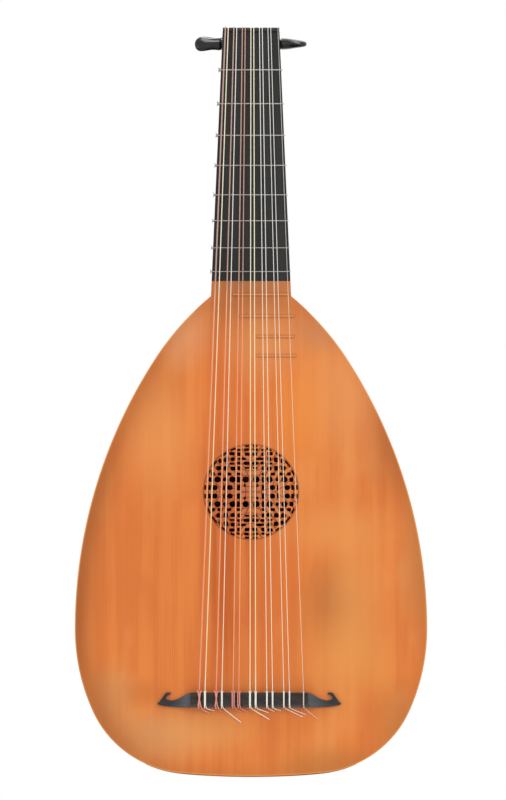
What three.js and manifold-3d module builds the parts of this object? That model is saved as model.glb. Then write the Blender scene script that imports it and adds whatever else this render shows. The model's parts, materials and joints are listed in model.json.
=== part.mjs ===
// A lute of seven courses, as the separate pieces that a lute maker glues, ties and fits together.
// Millimetres, +Z up. It hangs upright: the soundboard faces -Y, the neck points up and the bass side is -X.
// It is laid out from the lowest point of the soundboard's front face, and moved at the end, so that the
// origin lies on the flat underside of the pegbox, where the lute hangs.

import * as THREE from 'three';
import { mergeVertices } from 'three/addons/utils/BufferGeometryUtils.js';
import Module from 'manifold-3d';

const wasm = await Module();
wasm.setup();

// The outline of the body, as arcs that run into each other, from the tail up to the neck. Below the widest
// place the radii are shares of its height, and the shoulder's radius is a share of the upper side's.
const bodyLength = 436.8;
const bodyHalfWidth = 160.3;
const widestHeight = 133.9;
const upperSideTurn = THREE.MathUtils.degToRad(33.1);
const shoulderRadiusShare = 0.5565;
const lowerSideRadiusShare = 1.352;
const lowerSideTurn = THREE.MathUtils.degToRad(24.4);
const cornerRadiusShare = 0.719;
const stepsOfArc = { tail: 3, corner: 6, lowerSide: 3, upperSide: 6, shoulder: 4 };

// The bowl, whose sections are half ellipses, and its end clasp and neck block.
const ribCount = 11;
const ribThickness = 1.5;
const ribGap = 0.2;
const ribTailHalfWidth = 8;
const bowlDepthShare = 0.93;
const claspThickness = 0.8;
const claspGap = 0.3;
const claspBackReach = 34;
const claspSideReach = 96;
const neckBlockLength = 40;
const neckBlockGap = 0.3;

// The soundboard, with its rose and the bars under it.
const soundboardThickness = 1.6;
const tongueLength = 13.7;
const roseRadius = 43.2;
const roseHeight = 258.6;
const barHeightShares = [0.1, 0.29, 0.385, 0.475, 0.71, 0.83];
const barWidth = 5;
const barDepth = 14;
const barEndGap = 1;

// The strings: seven courses, all of them pairs but the highest.
const stringLength = 601;
const courseCount = 7;
const coursePitchAtBridge = 15.35;
const courseShiftAtNut = 1.2;
const courseShiftAtBridge = 1.65;
const pairGapAtNut = 2.6;
const pairGapAtBridge = 5.15;
const stringDiameters = [1.35, 0.9, 1.2, 0.8, 1.05, 1.0, 0.85, 0.85, 0.7, 0.7, 0.6, 0.6, 0.46];
const stringSides = 5;
const stringClearance = 0.3;

// The bridge, with a raised block and two thin, scrolled arms.
const bridgeFrontHeight = 76.4;
const bridgeDepth = 13.8;
const bridgeTopDepth = 10.6;
const bridgeBlockHeight = 9;
const bridgeLedgeHeight = 4.5;
const bridgeBlockHalfLength = 53;
const bridgeBlockShift = -1.6;
const bridgeArmLength = 30.5;
const bridgeArmHeight = 2.5;
const bridgeHoleHeight = 6.5;
const bridgeHoleSides = 6;
const tieGap = 0.75;

// The neck, fingerboard and nut.
const neckFootHalfWidth = 36.5;
const neckHeadHalfWidth = 25.9;
const neckHeadDepth = 22;
const nutLength = 3.8;
const nutSideInset = 0.2;
const nutEndMargin = 2.45;
const nutProud = 2.2;
const nutSeatDepth = 1.4;
const nutCornerRadius = 2.4;
const nutCornerSteps = 2;
const nutGrooveDepth = 0.7;
const grooveSides = 4;
const neckHeadBevel = 3.5;
const neckHeadDrop = 0.8;

// The frets: gut tied round the neck, then four strips of wood glued to the soundboard.
const fretScale = 590;
const firstFretDiameter = 1.0;
const lastFretDiameter = 0.6;
const fretSides = 5;
const fretGap = 0.3;

// How far the player has pushed each tied fret towards the bridge from its evenly tempered place.
const tiedFretShifts = [1.7, 1.2, 0.5, 0, 0.5, -0.7, 0.5, 0];

const fretKnotRadius = 1.3;
const bodyFretWidth = 1.8;
const bodyFretHeight = 0.9;

// The pegbox, bent back behind the nut. Its own frame runs back along +Y, with its underside at zero.
const pegboxBend = THREE.MathUtils.degToRad(84);
const pegboxLength = 195;
const pegboxFront = 7;
const pegboxSideInset = 0.5;
const pegboxCheekDrop = 7.37;
const pegboxFarHalfWidth = 18;
const pegboxNearDepth = 21;
const pegboxFarDepth = 17.5;
const cheekThickness = 5;
const pegboxBackThickness = 3;
const pegboxEndThickness = 6;
const pegboxEndOverhang = 1.2;
const pegboxFitGap = 0.3;
const pegboxSeatDepth = 1.2;
const hangReach = 45;

// The pegs: the nearest is a bass one, and bass and treble pegs take turns after it.
const bassPegCount = 7;
const firstPegReach = 27;
const lastPegStandoff = 19.2;
const firstPegDepth = 7.5;
const lastPegDepth = 7.8;
const pegTipRadius = 3.2;
const pegCollarRadius = 4.2;
const pegClearance = 0.45;
const pegTipStand = 1.5;
const pegNeckStand = 2.5;
const pegHeadLength = 24.5;
const pegHeadHalfWidth = 7.2;
const pegHeadHalfThickness = 5.2;
const pegSides = 10;
const pegHoleSides = 10;
const pegTurnsInDegrees = [12, -75, 40, 100, -20, 65, 150, 84, 95, 79, 99, 86, 92];
const tightTurn = THREE.MathUtils.degToRad(50);
const windingTurns = 1.7;
const windingSteps = 8;
const windingGap = 0.55;
const windingCheekGap = 2.9;
const windingFarReach = 2.6;

// Small values that serve the joining and cutting of solids.
const mergeTolerance = 0.0005;
const overrun = 2;

const jointHeight = bodyLength;
const nutFrontHeight = bridgeFrontHeight + stringLength;
const nutTopHeight = nutFrontHeight + nutLength;
const tongueHeight = jointHeight + tongueLength;
const nutHalfWidth = neckHeadHalfWidth - nutSideInset;
const coursePitchAtNut = (2 * (nutHalfWidth - nutEndMargin)) / (courseCount - 1);
const pegboxNearHalfWidth = neckHeadHalfWidth - pegboxSideInset;

const colours = {
  soundboard: 0xe0843f,
  ribs: 0x8a4a22,
  ebony: 0x1d1a19,
  neck: 0x2a211d,
  innerWood: 0xcfa372,
  gutFret: 0xc9c3b8,
  bassString: 0xd08f80,
  paleString: 0xe9e0c4,
};

const lute = new THREE.Group();

// Closed skins and solids

function skinOfTriangles(triangles) {
  const positions = [];
  triangles.forEach((triangle) => triangle.forEach((corner) => positions.push(corner.x, corner.y, corner.z)));
  const geometry = new THREE.BufferGeometry();
  geometry.setAttribute('position', new THREE.Float32BufferAttribute(positions, 3));
  return geometry;
}

// Turns a skin right side out, by the sign of the volume that it holds.
function faceOut(triangles) {
  const crossed = new THREE.Vector3();
  const volume = triangles.reduce((sum, [a, b, c]) => sum + a.dot(crossed.crossVectors(b, c)), 0);
  return volume < 0 ? triangles.map(([a, b, c]) => [a, c, b]) : triangles;
}

function isRealTriangle([a, b, c]) {
  return Math.min(a.distanceTo(b), b.distanceTo(c), c.distanceTo(a)) > mergeTolerance;
}

// Joins rings of equal length into one closed skin. The first and last ring are convex and get a flat end.
function loft(rings) {
  const triangles = [];
  const sides = rings[0].length;
  rings.slice(1).forEach((ring, step) => {
    const previous = rings[step];
    for (let side = 0; side < sides; side += 1) {
      const next = (side + 1) % sides;
      triangles.push([previous[side], previous[next], ring[next]]);
      triangles.push([previous[side], ring[next], ring[side]]);
    }
  });
  const first = rings[0];
  const last = rings[rings.length - 1];
  for (let side = 1; side < sides - 1; side += 1) {
    triangles.push([first[0], first[side + 1], first[side]]);
    triangles.push([last[0], last[side], last[side + 1]]);
  }
  return skinOfTriangles(faceOut(triangles.filter(isRealTriangle)));
}

// Closes a thin shell between an outer and an inner grid of points, around all four borders.
function shell(outer, inner) {
  const triangles = [];
  const quad = (a, b, c, d) => triangles.push([a, b, c], [a, c, d]);
  const lastRow = outer.length - 1;
  const lastColumn = outer[0].length - 1;
  for (let i = 0; i < lastRow; i += 1) {
    for (let j = 0; j < lastColumn; j += 1) {
      quad(outer[i][j], outer[i][j + 1], outer[i + 1][j + 1], outer[i + 1][j]);
      quad(inner[i][j], inner[i + 1][j], inner[i + 1][j + 1], inner[i][j + 1]);
    }
    quad(outer[i][0], outer[i + 1][0], inner[i + 1][0], inner[i][0]);
    quad(outer[i + 1][lastColumn], outer[i][lastColumn], inner[i][lastColumn], inner[i + 1][lastColumn]);
  }
  for (let j = 0; j < lastColumn; j += 1) {
    quad(outer[0][j + 1], outer[0][j], inner[0][j], inner[0][j + 1]);
    quad(outer[lastRow][j], outer[lastRow][j + 1], inner[lastRow][j + 1], inner[lastRow][j]);
  }
  return skinOfTriangles(faceOut(triangles.filter(isRealTriangle)));
}

// A round cord along a row of points, as one unbroken tube.
function tube(points, radius, sides) {
  const tangents = points.map((point, index) => {
    const before = points[Math.max(index - 1, 0)];
    const after = points[Math.min(index + 1, points.length - 1)];
    const backward = point.clone().sub(before).normalize();
    const forward = after.clone().sub(point).normalize();
    return backward.add(forward).normalize();
  });
  const sideways = new THREE.Vector3(1, 0, 0);
  const normal = new THREE.Vector3().crossVectors(tangents[0], sideways).normalize();
  const turn = new THREE.Quaternion();
  const rings = points.map((point, index) => {
    if (index > 0) {
      turn.setFromUnitVectors(tangents[index - 1], tangents[index]);
      normal.applyQuaternion(turn);
    }
    const other = new THREE.Vector3().crossVectors(tangents[index], normal).normalize();
    return Array.from({ length: sides }, (unused, side) => {
      const angle = (2 * Math.PI * side) / sides;
      const arm = normal.clone().multiplyScalar(Math.cos(angle)).addScaledVector(other, Math.sin(angle));
      return point.clone().addScaledVector(arm, radius);
    });
  });
  return loft(rings);
}

function solidOf(geometry) {
  const bare = geometry.clone();
  bare.deleteAttribute('normal');
  bare.deleteAttribute('uv');
  const merged = mergeVertices(bare, mergeTolerance);
  return new wasm.Manifold(new wasm.Mesh({
    numProp: 3,
    vertProperties: new Float32Array(merged.attributes.position.array),
    triVerts: new Uint32Array(merged.index.array),
  }));
}

function geometryOf(solid) {
  const mesh = solid.getMesh();
  const geometry = new THREE.BufferGeometry();
  geometry.setAttribute('position', new THREE.Float32BufferAttribute(mesh.vertProperties, 3));
  geometry.setIndex(Array.from(mesh.triVerts));
  return geometry;
}

function cut(geometry, cutters) {
  return geometryOf(cutters.reduce((solid, cutter) => solid.subtract(solidOf(cutter)), solidOf(geometry)));
}

function keepInside(geometry, keeper) {
  return geometryOf(solidOf(geometry).intersect(solidOf(keeper)));
}

function fuse([first, ...others]) {
  return geometryOf(others.reduce((solid, other) => solid.add(solidOf(other)), solidOf(first)));
}

// A flat plate from an outline drawn in X and Z, between two distances along Y.
function plate(shape, front, back) {
  const geometry = new THREE.ExtrudeGeometry(shape, { depth: back - front, bevelEnabled: false });
  geometry.rotateX(Math.PI / 2);
  geometry.translate(0, back, 0);
  return geometry;
}

// A bar across the lute, from a convex section drawn in Y and Z.
function barAcross(section, left, right) {
  const ringAt = (x) => section.map(([y, z]) => new THREE.Vector3(x, y, z));
  return loft([ringAt(left), ringAt(right)]);
}

function box(low, high) {
  const size = new THREE.Vector3().subVectors(high, low);
  const geometry = new THREE.BoxGeometry(size.x, size.y, size.z);
  const middle = new THREE.Vector3().addVectors(low, high).multiplyScalar(0.5);
  return geometry.translate(middle.x, middle.y, middle.z);
}

function finish(colour, roughness) {
  return new THREE.MeshStandardMaterial({ color: colour, roughness, metalness: 0 });
}

function addPiece(parent, name, geometry, material) {
  const mesh = new THREE.Mesh(geometry, material);
  mesh.name = name;
  parent.add(mesh);
  return mesh;
}

const numbered = (stem, number) => `${stem}_${String(number).padStart(2, '0')}`;

// The outline of the body

// The radius of the upper side: the one with which that arc and the shoulder's, after its turn, lead from the
// widest place to the foot of the neck.
function findUpperSideRadius() {
  const inward = bodyHalfWidth - neckFootHalfWidth;
  const upward = bodyLength - widestHeight;
  const rest = 1 - shoulderRadiusShare;
  const square = 2 * rest * (1 - Math.cos(upperSideTurn));
  const linear = inward * (1 - rest * Math.cos(upperSideTurn)) + upward * rest * Math.sin(upperSideTurn);
  return (linear - Math.sqrt(linear ** 2 - square * (inward ** 2 + upward ** 2))) / square;
}

// Each arc: its centre, its radius, and the angles at which it starts and ends, measured from +X towards +Z.
function outlineArcs() {
  const upperSideRadius = findUpperSideRadius();
  const shoulderRadius = shoulderRadiusShare * upperSideRadius;
  const lowerSideRadius = lowerSideRadiusShare * widestHeight;
  const cornerRadius = cornerRadiusShare * widestHeight;
  const upperCentre = new THREE.Vector2(bodyHalfWidth - upperSideRadius, widestHeight);
  const lowerCentre = new THREE.Vector2(bodyHalfWidth - lowerSideRadius, widestHeight);
  const upperWay = new THREE.Vector2(Math.cos(upperSideTurn), Math.sin(upperSideTurn));
  const lowerWay = new THREE.Vector2(Math.cos(lowerSideTurn), -Math.sin(lowerSideTurn));
  const shoulderCentre = upperCentre.clone().addScaledVector(upperWay, upperSideRadius - shoulderRadius);
  const cornerCentre = lowerCentre.clone().addScaledVector(lowerWay, lowerSideRadius - cornerRadius);
  const tailRadius = (cornerCentre.lengthSq() - cornerRadius ** 2) / (2 * (cornerCentre.y - cornerRadius));
  const tailCentre = new THREE.Vector2(0, tailRadius);
  const tailWay = cornerCentre.clone().sub(tailCentre).angle() - 2 * Math.PI;
  const shoulderEnd = Math.asin((jointHeight - shoulderCentre.y) / shoulderRadius);
  const arc = (centre, radius, from, to, steps) => ({ centre, radius, from, to, steps });
  return [
    arc(tailCentre, tailRadius, -Math.PI / 2, tailWay, stepsOfArc.tail),
    arc(cornerCentre, cornerRadius, tailWay, -lowerSideTurn, stepsOfArc.corner),
    arc(lowerCentre, lowerSideRadius, -lowerSideTurn, 0, stepsOfArc.lowerSide),
    arc(upperCentre, upperSideRadius, 0, upperSideTurn, stepsOfArc.upperSide),
    arc(shoulderCentre, shoulderRadius, upperSideTurn, shoulderEnd, stepsOfArc.shoulder),
  ];
}

const arcs = outlineArcs();

// A place on the outline: its half width, its height, and the way that the outline faces there.
function placeOnArc(arc, angle) {
  const across = Math.cos(angle);
  const up = Math.sin(angle);
  return { half: arc.centre.x + arc.radius * across, height: arc.centre.y + arc.radius * up, across, up };
}

function placesAlongOutline() {
  const places = [placeOnArc(arcs[0], arcs[0].from)];
  arcs.forEach((arc) => {
    for (let step = 1; step <= arc.steps; step += 1) {
      places.push(placeOnArc(arc, arc.from + ((arc.to - arc.from) * step) / arc.steps));
    }
  });
  return places;
}

const outlinePlaces = placesAlongOutline();

function placeAtHeight(height) {
  const reaches = (arc) => height <= placeOnArc(arc, arc.to).height + mergeTolerance;
  const arc = arcs.find(reaches) ?? arcs[arcs.length - 1];
  return placeOnArc(arc, Math.asin((height - arc.centre.y) / arc.radius));
}

function placeNearTail(half) {
  return placeOnArc(arcs[0], -Math.acos((half - arcs[0].centre.x) / arcs[0].radius));
}

// The place between two neighbours on the outline at which its half width, or its height, reaches a value.
function placeBetween(name, value) {
  const after = outlinePlaces.findIndex((place) => place[name] > value);
  const [low, high] = [outlinePlaces[after - 1], outlinePlaces[after]];
  const share = (value - low[name]) / (high[name] - low[name]);
  const mix = (key) => THREE.MathUtils.lerp(low[key], high[key], share);
  return { half: mix('half'), height: mix('height'), across: mix('across'), up: mix('up') };
}

// A point of the bowl over a place on the outline. Its angle runs from 0 at the bass edge to the treble edge.
function bowlPoint(place, angle, offset) {
  const half = place.half + offset * place.across;
  const back = soundboardThickness + bowlDepthShare * half * Math.sin(angle);
  return new THREE.Vector3(-half * Math.cos(angle), back, place.height + offset * place.up);
}

// The bowl

const ribAngle = Math.PI / ribCount;

function makeRibs() {
  const fullPlaces = outlinePlaces.filter((place) => place.half > 2 * ribTailHalfWidth);
  const ribPlaces = [placeNearTail(ribTailHalfWidth), ...fullPlaces];
  for (let rib = 0; rib < ribCount; rib += 1) {
    const edgesAt = (offset) => ribPlaces.map((place) => {
      const glueLine = ribGap / 2 / place.half;
      const start = rib * ribAngle + (rib === 0 ? 0 : glueLine);
      const end = (rib + 1) * ribAngle - (rib === ribCount - 1 ? 0 : glueLine);
      return [bowlPoint(place, start, offset), bowlPoint(place, end, offset)];
    });
    const geometry = shell(edgesAt(0), edgesAt(-ribThickness));
    addPiece(lute, numbered('rib', rib + 1), geometry, finish(colours.ribs, 0.35));
  }
}

// The clasp caps the ribs where they meet: a thin shell over them, trimmed to an outline that is widest at
// the soundboard's edge and narrowest behind.
function makeEndClasp() {
  const wider = outlinePlaces.findIndex((place) => place.half > claspSideReach);
  const rows = outlinePlaces.slice(0, wider + 1);
  const gridAt = (offset) => Array.from({ length: ribCount + 1 }, (unused, rib) => (
    rows.map((place) => bowlPoint(place, rib * ribAngle, offset))));
  const blank = shell(gridAt(claspGap + claspThickness), gridAt(claspGap));
  const edge = Array.from({ length: 2 * ribCount + 1 }, (unused, step) => {
    const angle = (Math.PI * step) / (2 * ribCount);
    const reach = claspBackReach + (claspSideReach - claspBackReach) * Math.cos(angle) ** 2;
    const back = soundboardThickness + bowlDepthShare * reach * Math.sin(angle);
    return new THREE.Vector2(reach * Math.cos(angle), back);
  });
  const front = [-claspSideReach, claspSideReach].map((x) => (
    new THREE.Vector2(x, soundboardThickness - overrun)));
  const depth = rows[wider].height + 2 * overrun;
  const outline = new THREE.Shape([...edge, ...front]);
  const keeper = new THREE.ExtrudeGeometry(outline, { depth, bevelEnabled: false });
  keeper.translate(0, 0, -claspGap - claspThickness - overrun);
  addPiece(lute, 'end_clasp', keepInside(blank, keeper), finish(colours.ribs, 0.35));
}

function makeNeckBlock() {
  const lowest = placeBetween('height', jointHeight - neckBlockLength);
  const higher = outlinePlaces.filter((place) => place.height > lowest.height + overrun);
  const rings = [lowest, ...higher].map((place) => {
    const inset = { ...place, half: place.half - (ribThickness + neckBlockGap) / place.across };
    return Array.from({ length: ribCount + 1 }, (unused, rib) => bowlPoint(inset, rib * ribAngle, 0));
  });
  addPiece(lute, 'neck_block', loft(rings), finish(colours.innerWood, 0.7));
}

// The soundboard

// One quarter of the rose: how far each hole lies across and up from the middle, its half width and
// half height, and its number of corners. All but the corners are shares of the rose's radius.
const roseHoleShares = [
  [0.262, 0.09, 0.031, 0.053, 4], [0.447, 0.09, 0.057, 0.046, 6], [0.565, 0.09, 0.018, 0.05, 4],
  [0.762, 0.09, 0.053, 0.046, 6], [0.873, 0.09, 0.03, 0.046, 4],
  [0.132, 0.134, 0.02, 0.028, 4], [0.113, 0.259, 0.057, 0.06, 8], [0.262, 0.259, 0.031, 0.057, 4],
  [0.389, 0.259, 0.06, 0.054, 6], [0.551, 0.259, 0.028, 0.03, 4], [0.704, 0.259, 0.06, 0.055, 6],
  [0.859, 0.259, 0.038, 0.045, 4],
  [0.262, 0.372, 0.031, 0.028, 4], [0.468, 0.372, 0.036, 0.028, 4], [0.662, 0.372, 0.04, 0.028, 4],
  [0.82, 0.38, 0.034, 0.032, 4],
  [0.079, 0.5, 0.04, 0.02, 4], [0.255, 0.5, 0.028, 0.037, 4], [0.372, 0.49, 0.045, 0.034, 4],
  [0.537, 0.5, 0.038, 0.042, 6], [0.69, 0.51, 0.042, 0.042, 4],
  [0.086, 0.6, 0.062, 0.03, 6], [0.241, 0.6, 0.045, 0.026, 4],
  [0.2, 0.69, 0.066, 0.026, 4], [0.384, 0.668, 0.038, 0.042, 4], [0.521, 0.678, 0.042, 0.044, 4],
  [0.075, 0.79, 0.045, 0.036, 4], [0.255, 0.8, 0.034, 0.038, 4], [0.4, 0.8, 0.05, 0.034, 4],
  [0.09, 0.895, 0.045, 0.034, 4], [0.248, 0.9, 0.036, 0.034, 4],
];

// The thin slits between the knotwork and the rose's rim: how far round each lies, and its half length.
const roseSlitTurnsInDegrees = [7, 22, 33, 44, 55, 66, 84];
const roseSlitRadiusShare = 0.968;
const roseSlitHalfLengthShare = 0.055;
const roseSlitHalfWidthShare = 0.014;

// A cutter for one hole: a prism with a flat side up, turned about its middle.
function roseCutter(middleX, middleY, halfWidth, halfHeight, corners, turn) {
  const reach = 1 / Math.max(Math.cos(Math.PI / corners), Math.SQRT1_2);
  const points = Array.from({ length: corners }, (unused, corner) => {
    const angle = (2 * Math.PI * (corner + 0.5)) / corners;
    const point = new THREE.Vector2(halfWidth * Math.cos(angle), halfHeight * Math.sin(angle));
    point.multiplyScalar(reach).rotateAround(new THREE.Vector2(), turn);
    return point.add(new THREE.Vector2(middleX, middleY));
  });
  return plate(new THREE.Shape(points), -overrun, soundboardThickness + overrun);
}

function roseCutters() {
  const quarters = [[1, 1], [-1, 1], [-1, -1], [1, -1]];
  return quarters.flatMap(([across, up]) => {
    const holes = roseHoleShares.map(([x, y, halfWidth, halfHeight, corners]) => roseCutter(
      across * x * roseRadius, roseHeight + up * y * roseRadius,
      halfWidth * roseRadius, halfHeight * roseRadius, corners, 0));
    const slits = roseSlitTurnsInDegrees.map((degrees) => {
      const turn = THREE.MathUtils.degToRad(degrees);
      const x = roseSlitRadiusShare * roseRadius * Math.cos(turn);
      const y = roseSlitRadiusShare * roseRadius * Math.sin(turn);
      return roseCutter(across * x, roseHeight + up * y, roseSlitHalfLengthShare * roseRadius,
        roseSlitHalfWidthShare * roseRadius, 4, across * up * (turn + Math.PI / 2));
    });
    return [...holes, ...slits];
  });
}

function soundboardShape() {
  const treble = outlinePlaces.slice(1).map((place) => new THREE.Vector2(place.half, place.height));
  treble.push(new THREE.Vector2(neckHalfWidthAt(tongueHeight), tongueHeight));
  const bass = treble.map((point) => new THREE.Vector2(-point.x, point.y)).reverse();
  const tail = new THREE.Vector2(0, outlinePlaces[0].height);
  return new THREE.Shape([tail, ...treble, ...bass]);
}

// Half the clear width inside the bowl, at a depth under the soundboard, between the outermost ribs' flats.
function innerHalfWidth(height, depth) {
  const place = placeAtHeight(height);
  const half = place.half - ribThickness / place.across;
  const lean = (1 - Math.cos(ribAngle)) / (bowlDepthShare * Math.sin(ribAngle));
  return half - depth * lean;
}

function soundboardBar(height) {
  const halfWidthAtDepth = (depth) => Math.min(
    innerHalfWidth(height - barWidth / 2, depth),
    innerHalfWidth(height + barWidth / 2, depth),
  ) - barEndGap;
  const ringAt = (depth, half) => [[-half, -1], [half, -1], [half, 1], [-half, 1]].map(([x, side]) => (
    new THREE.Vector3(x, soundboardThickness + depth, height + (side * barWidth) / 2)));
  const seat = -soundboardThickness / 2;
  return loft([
    ringAt(seat, halfWidthAtDepth(0)),
    ringAt(barDepth / 3, halfWidthAtDepth(barDepth / 3)),
    ringAt(barDepth, halfWidthAtDepth(barDepth) - 2 * barWidth),
  ]);
}

function makeSoundboard() {
  const board = cut(plate(soundboardShape(), 0, soundboardThickness), roseCutters());
  const bars = barHeightShares.map((share) => soundboardBar(share * bodyLength));
  addPiece(lute, 'soundboard', fuse([board, ...bars]), finish(colours.soundboard, 0.4));
}

// The neck, fingerboard and nut

function neckHalfWidthAt(height) {
  const share = (height - jointHeight) / (nutFrontHeight - jointHeight);
  return THREE.MathUtils.lerp(neckFootHalfWidth, neckHeadHalfWidth, share);
}

function neckDepthAt(height) {
  const share = (height - jointHeight) / (nutFrontHeight - jointHeight);
  return THREE.MathUtils.lerp(bowlDepthShare * neckFootHalfWidth, neckHeadDepth, share);
}

function neckRing(height) {
  const half = neckHalfWidthAt(height);
  const depth = neckDepthAt(height);
  return Array.from({ length: ribCount + 1 }, (unused, rib) => {
    const angle = rib * ribAngle;
    return new THREE.Vector3(-half * Math.cos(angle), soundboardThickness + depth * Math.sin(angle), height);
  });
}

function neckCutters() {
  const wide = neckFootHalfWidth + overrun;
  const nutSeat = box(
    new THREE.Vector3(-wide, -overrun, nutFrontHeight),
    new THREE.Vector3(wide, soundboardThickness + nutSeatDepth, nutTopHeight + overrun),
  );
  const bevelTop = nutTopHeight - neckHeadDrop;
  const bevel = barAcross([
    [soundboardThickness, bevelTop],
    [pegboxFront + overrun, bevelTop - neckHeadBevel],
    [pegboxFront + overrun, nutTopHeight + overrun],
    [soundboardThickness, nutTopHeight + overrun],
  ], -wide, wide);
  const pegboxRoom = box(
    new THREE.Vector3(-wide, -pegboxFitGap, pegboxSeatDepth - pegboxFitGap),
    new THREE.Vector3(wide, neckHeadDepth + overrun, pegboxNearDepth + neckHeadDepth),
  );
  pegboxRoom.applyMatrix4(pegboxPlace);
  return [nutSeat, bevel, pegboxRoom];
}

function makeNeck() {
  const blank = loft([neckRing(jointHeight), neckRing(nutTopHeight)]);
  addPiece(lute, 'neck', cut(blank, neckCutters()), finish(colours.neck, 0.4));
  const board = new THREE.Shape([
    new THREE.Vector2(-neckHalfWidthAt(tongueHeight), tongueHeight),
    new THREE.Vector2(neckHalfWidthAt(tongueHeight), tongueHeight),
    new THREE.Vector2(neckHeadHalfWidth, nutFrontHeight),
    new THREE.Vector2(-neckHeadHalfWidth, nutFrontHeight),
  ]);
  addPiece(lute, 'fingerboard', plate(board, 0, soundboardThickness), finish(colours.ebony, 0.35));
}

// The corner of the nut that the strings bend over: the middle of its round, in Y and Z.
const nutCorner = { y: nutCornerRadius - nutProud, z: nutTopHeight - nutCornerRadius };

function makeNut() {
  const round = Array.from({ length: nutCornerSteps + 1 }, (unused, step) => {
    const angle = (Math.PI / 2) * (step / nutCornerSteps);
    return [nutCorner.y - nutCornerRadius * Math.cos(angle), nutCorner.z + nutCornerRadius * Math.sin(angle)];
  });
  const section = [
    [soundboardThickness + nutSeatDepth, nutFrontHeight],
    [-nutProud, nutFrontHeight],
    ...round,
    [soundboardThickness + nutSeatDepth, nutTopHeight],
  ];
  const blank = barAcross(section, -nutHalfWidth, nutHalfWidth);
  const grooves = strings.map((string) => {
    const radius = (string.radius + stringClearance) / Math.cos(Math.PI / grooveSides);
    return tube(routeOverNut(string), radius, grooveSides);
  });
  addPiece(lute, 'nut', cut(blank, grooves), finish(colours.ebony, 0.45));
}

// The frets

const fretHeight = (number) => nutFrontHeight - fretScale * (1 - 2 ** (-number / 12));

// As many frets are tied as the neck has room for above the soundboard's tongue.
function countTiedFrets() {
  let count = 0;
  while (fretHeight(count + 1) > tongueHeight) {
    count += 1;
  }
  return count;
}

const tiedFretCount = countTiedFrets();

// A loop of gut round the neck: flat over the fingerboard, and close to the neck's back.
function tiedFret(height, radius) {
  const away = fretGap + radius;
  const half = neckHalfWidthAt(height);
  const corner = away * Math.SQRT1_2;
  const points = [
    new THREE.Vector3(-half, -away, height),
    new THREE.Vector3(half, -away, height),
    new THREE.Vector3(half + corner, -corner, height),
  ];
  for (let rib = 0; rib <= ribCount; rib += 1) {
    const angle = rib * ribAngle;
    const reach = half + away;
    const depth = neckDepthAt(height) + away;
    const back = soundboardThickness + depth * Math.sin(angle);
    points.push(new THREE.Vector3(reach * Math.cos(angle), back, height));
  }
  points.push(new THREE.Vector3(-half - corner, -corner, height));
  const rings = points.map((point, index) => {
    const before = points[(index + points.length - 1) % points.length];
    const after = points[(index + 1) % points.length];
    const outward = new THREE.Vector3(after.y - before.y, before.x - after.x, 0).normalize();
    return Array.from({ length: fretSides }, (unused, side) => {
      const angle = (2 * Math.PI * side) / fretSides;
      const ring = point.clone().addScaledVector(outward, radius * Math.cos(angle));
      ring.z += radius * Math.sin(angle);
      return ring;
    });
  });
  const triangles = [];
  rings.forEach((ring, index) => {
    const following = rings[(index + 1) % rings.length];
    for (let side = 0; side < fretSides; side += 1) {
      const next = (side + 1) % fretSides;
      triangles.push([ring[side], ring[next], following[next]]);
      triangles.push([ring[side], following[next], following[side]]);
    }
  });
  return skinOfTriangles(faceOut(triangles));
}

function makeTiedFrets() {
  for (let number = 1; number <= tiedFretCount; number += 1) {
    const share = (number - 1) / (tiedFretCount - 1);
    const radius = THREE.MathUtils.lerp(firstFretDiameter, lastFretDiameter, share) / 2;
    const height = fretHeight(number) - (tiedFretShifts[number - 1] ?? 0);
    const knot = new THREE.SphereGeometry(fretKnotRadius, fretSides, fretSides - 2);
    knot.translate(-neckHalfWidthAt(height) - fretGap - fretKnotRadius, soundboardThickness, height);
    const fret = fuse([tiedFret(height, radius), knot]);
    addPiece(lute, `tied_fret_${number}`, fret, finish(colours.gutFret, 0.5));
  }
}

// How far each strip reaches to the bass side and to the treble side, as shares of the neck's half width.
const bodyFretReachShares = [[-0.46, 0.973], [-0.274, 1.07], [0.14, 1.07], [0.15, 1.11]];

function makeBodyFrets() {
  bodyFretReachShares.forEach(([left, right], index) => {
    const number = tiedFretCount + 1 + index;
    const height = fretHeight(number);
    const section = [
      [0, height - bodyFretWidth / 2],
      [-bodyFretHeight, height - bodyFretWidth / 4],
      [-bodyFretHeight, height + bodyFretWidth / 4],
      [0, height + bodyFretWidth / 2],
    ];
    const strip = barAcross(section, left * neckFootHalfWidth, right * neckFootHalfWidth);
    addPiece(lute, numbered('body_fret', number), strip, finish(colours.soundboard, 0.4));
  });
}

// The bridge

// The outline of one arm, from the block outwards along its upper edge, round its scroll and back: how far
// each point lies out and up, as shares of the arm's length and the bridge's depth.
const bridgeArmShares = [
  [-0.2, 0.985], [0.095, 0.93], [0.2, 0.8], [0.325, 0.63], [0.46, 0.5], [0.6, 0.455], [0.725, 0.53],
  [0.735, 0.7], [0.61, 0.88], [0.61, 0.97], [0.745, 0.965], [0.8, 0.8], [0.87, 0.59], [0.94, 0.38],
  [1, 0.22], [0.82, 0.1], [0.63, 0.045], [0.3, 0], [-0.2, 0],
];

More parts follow.
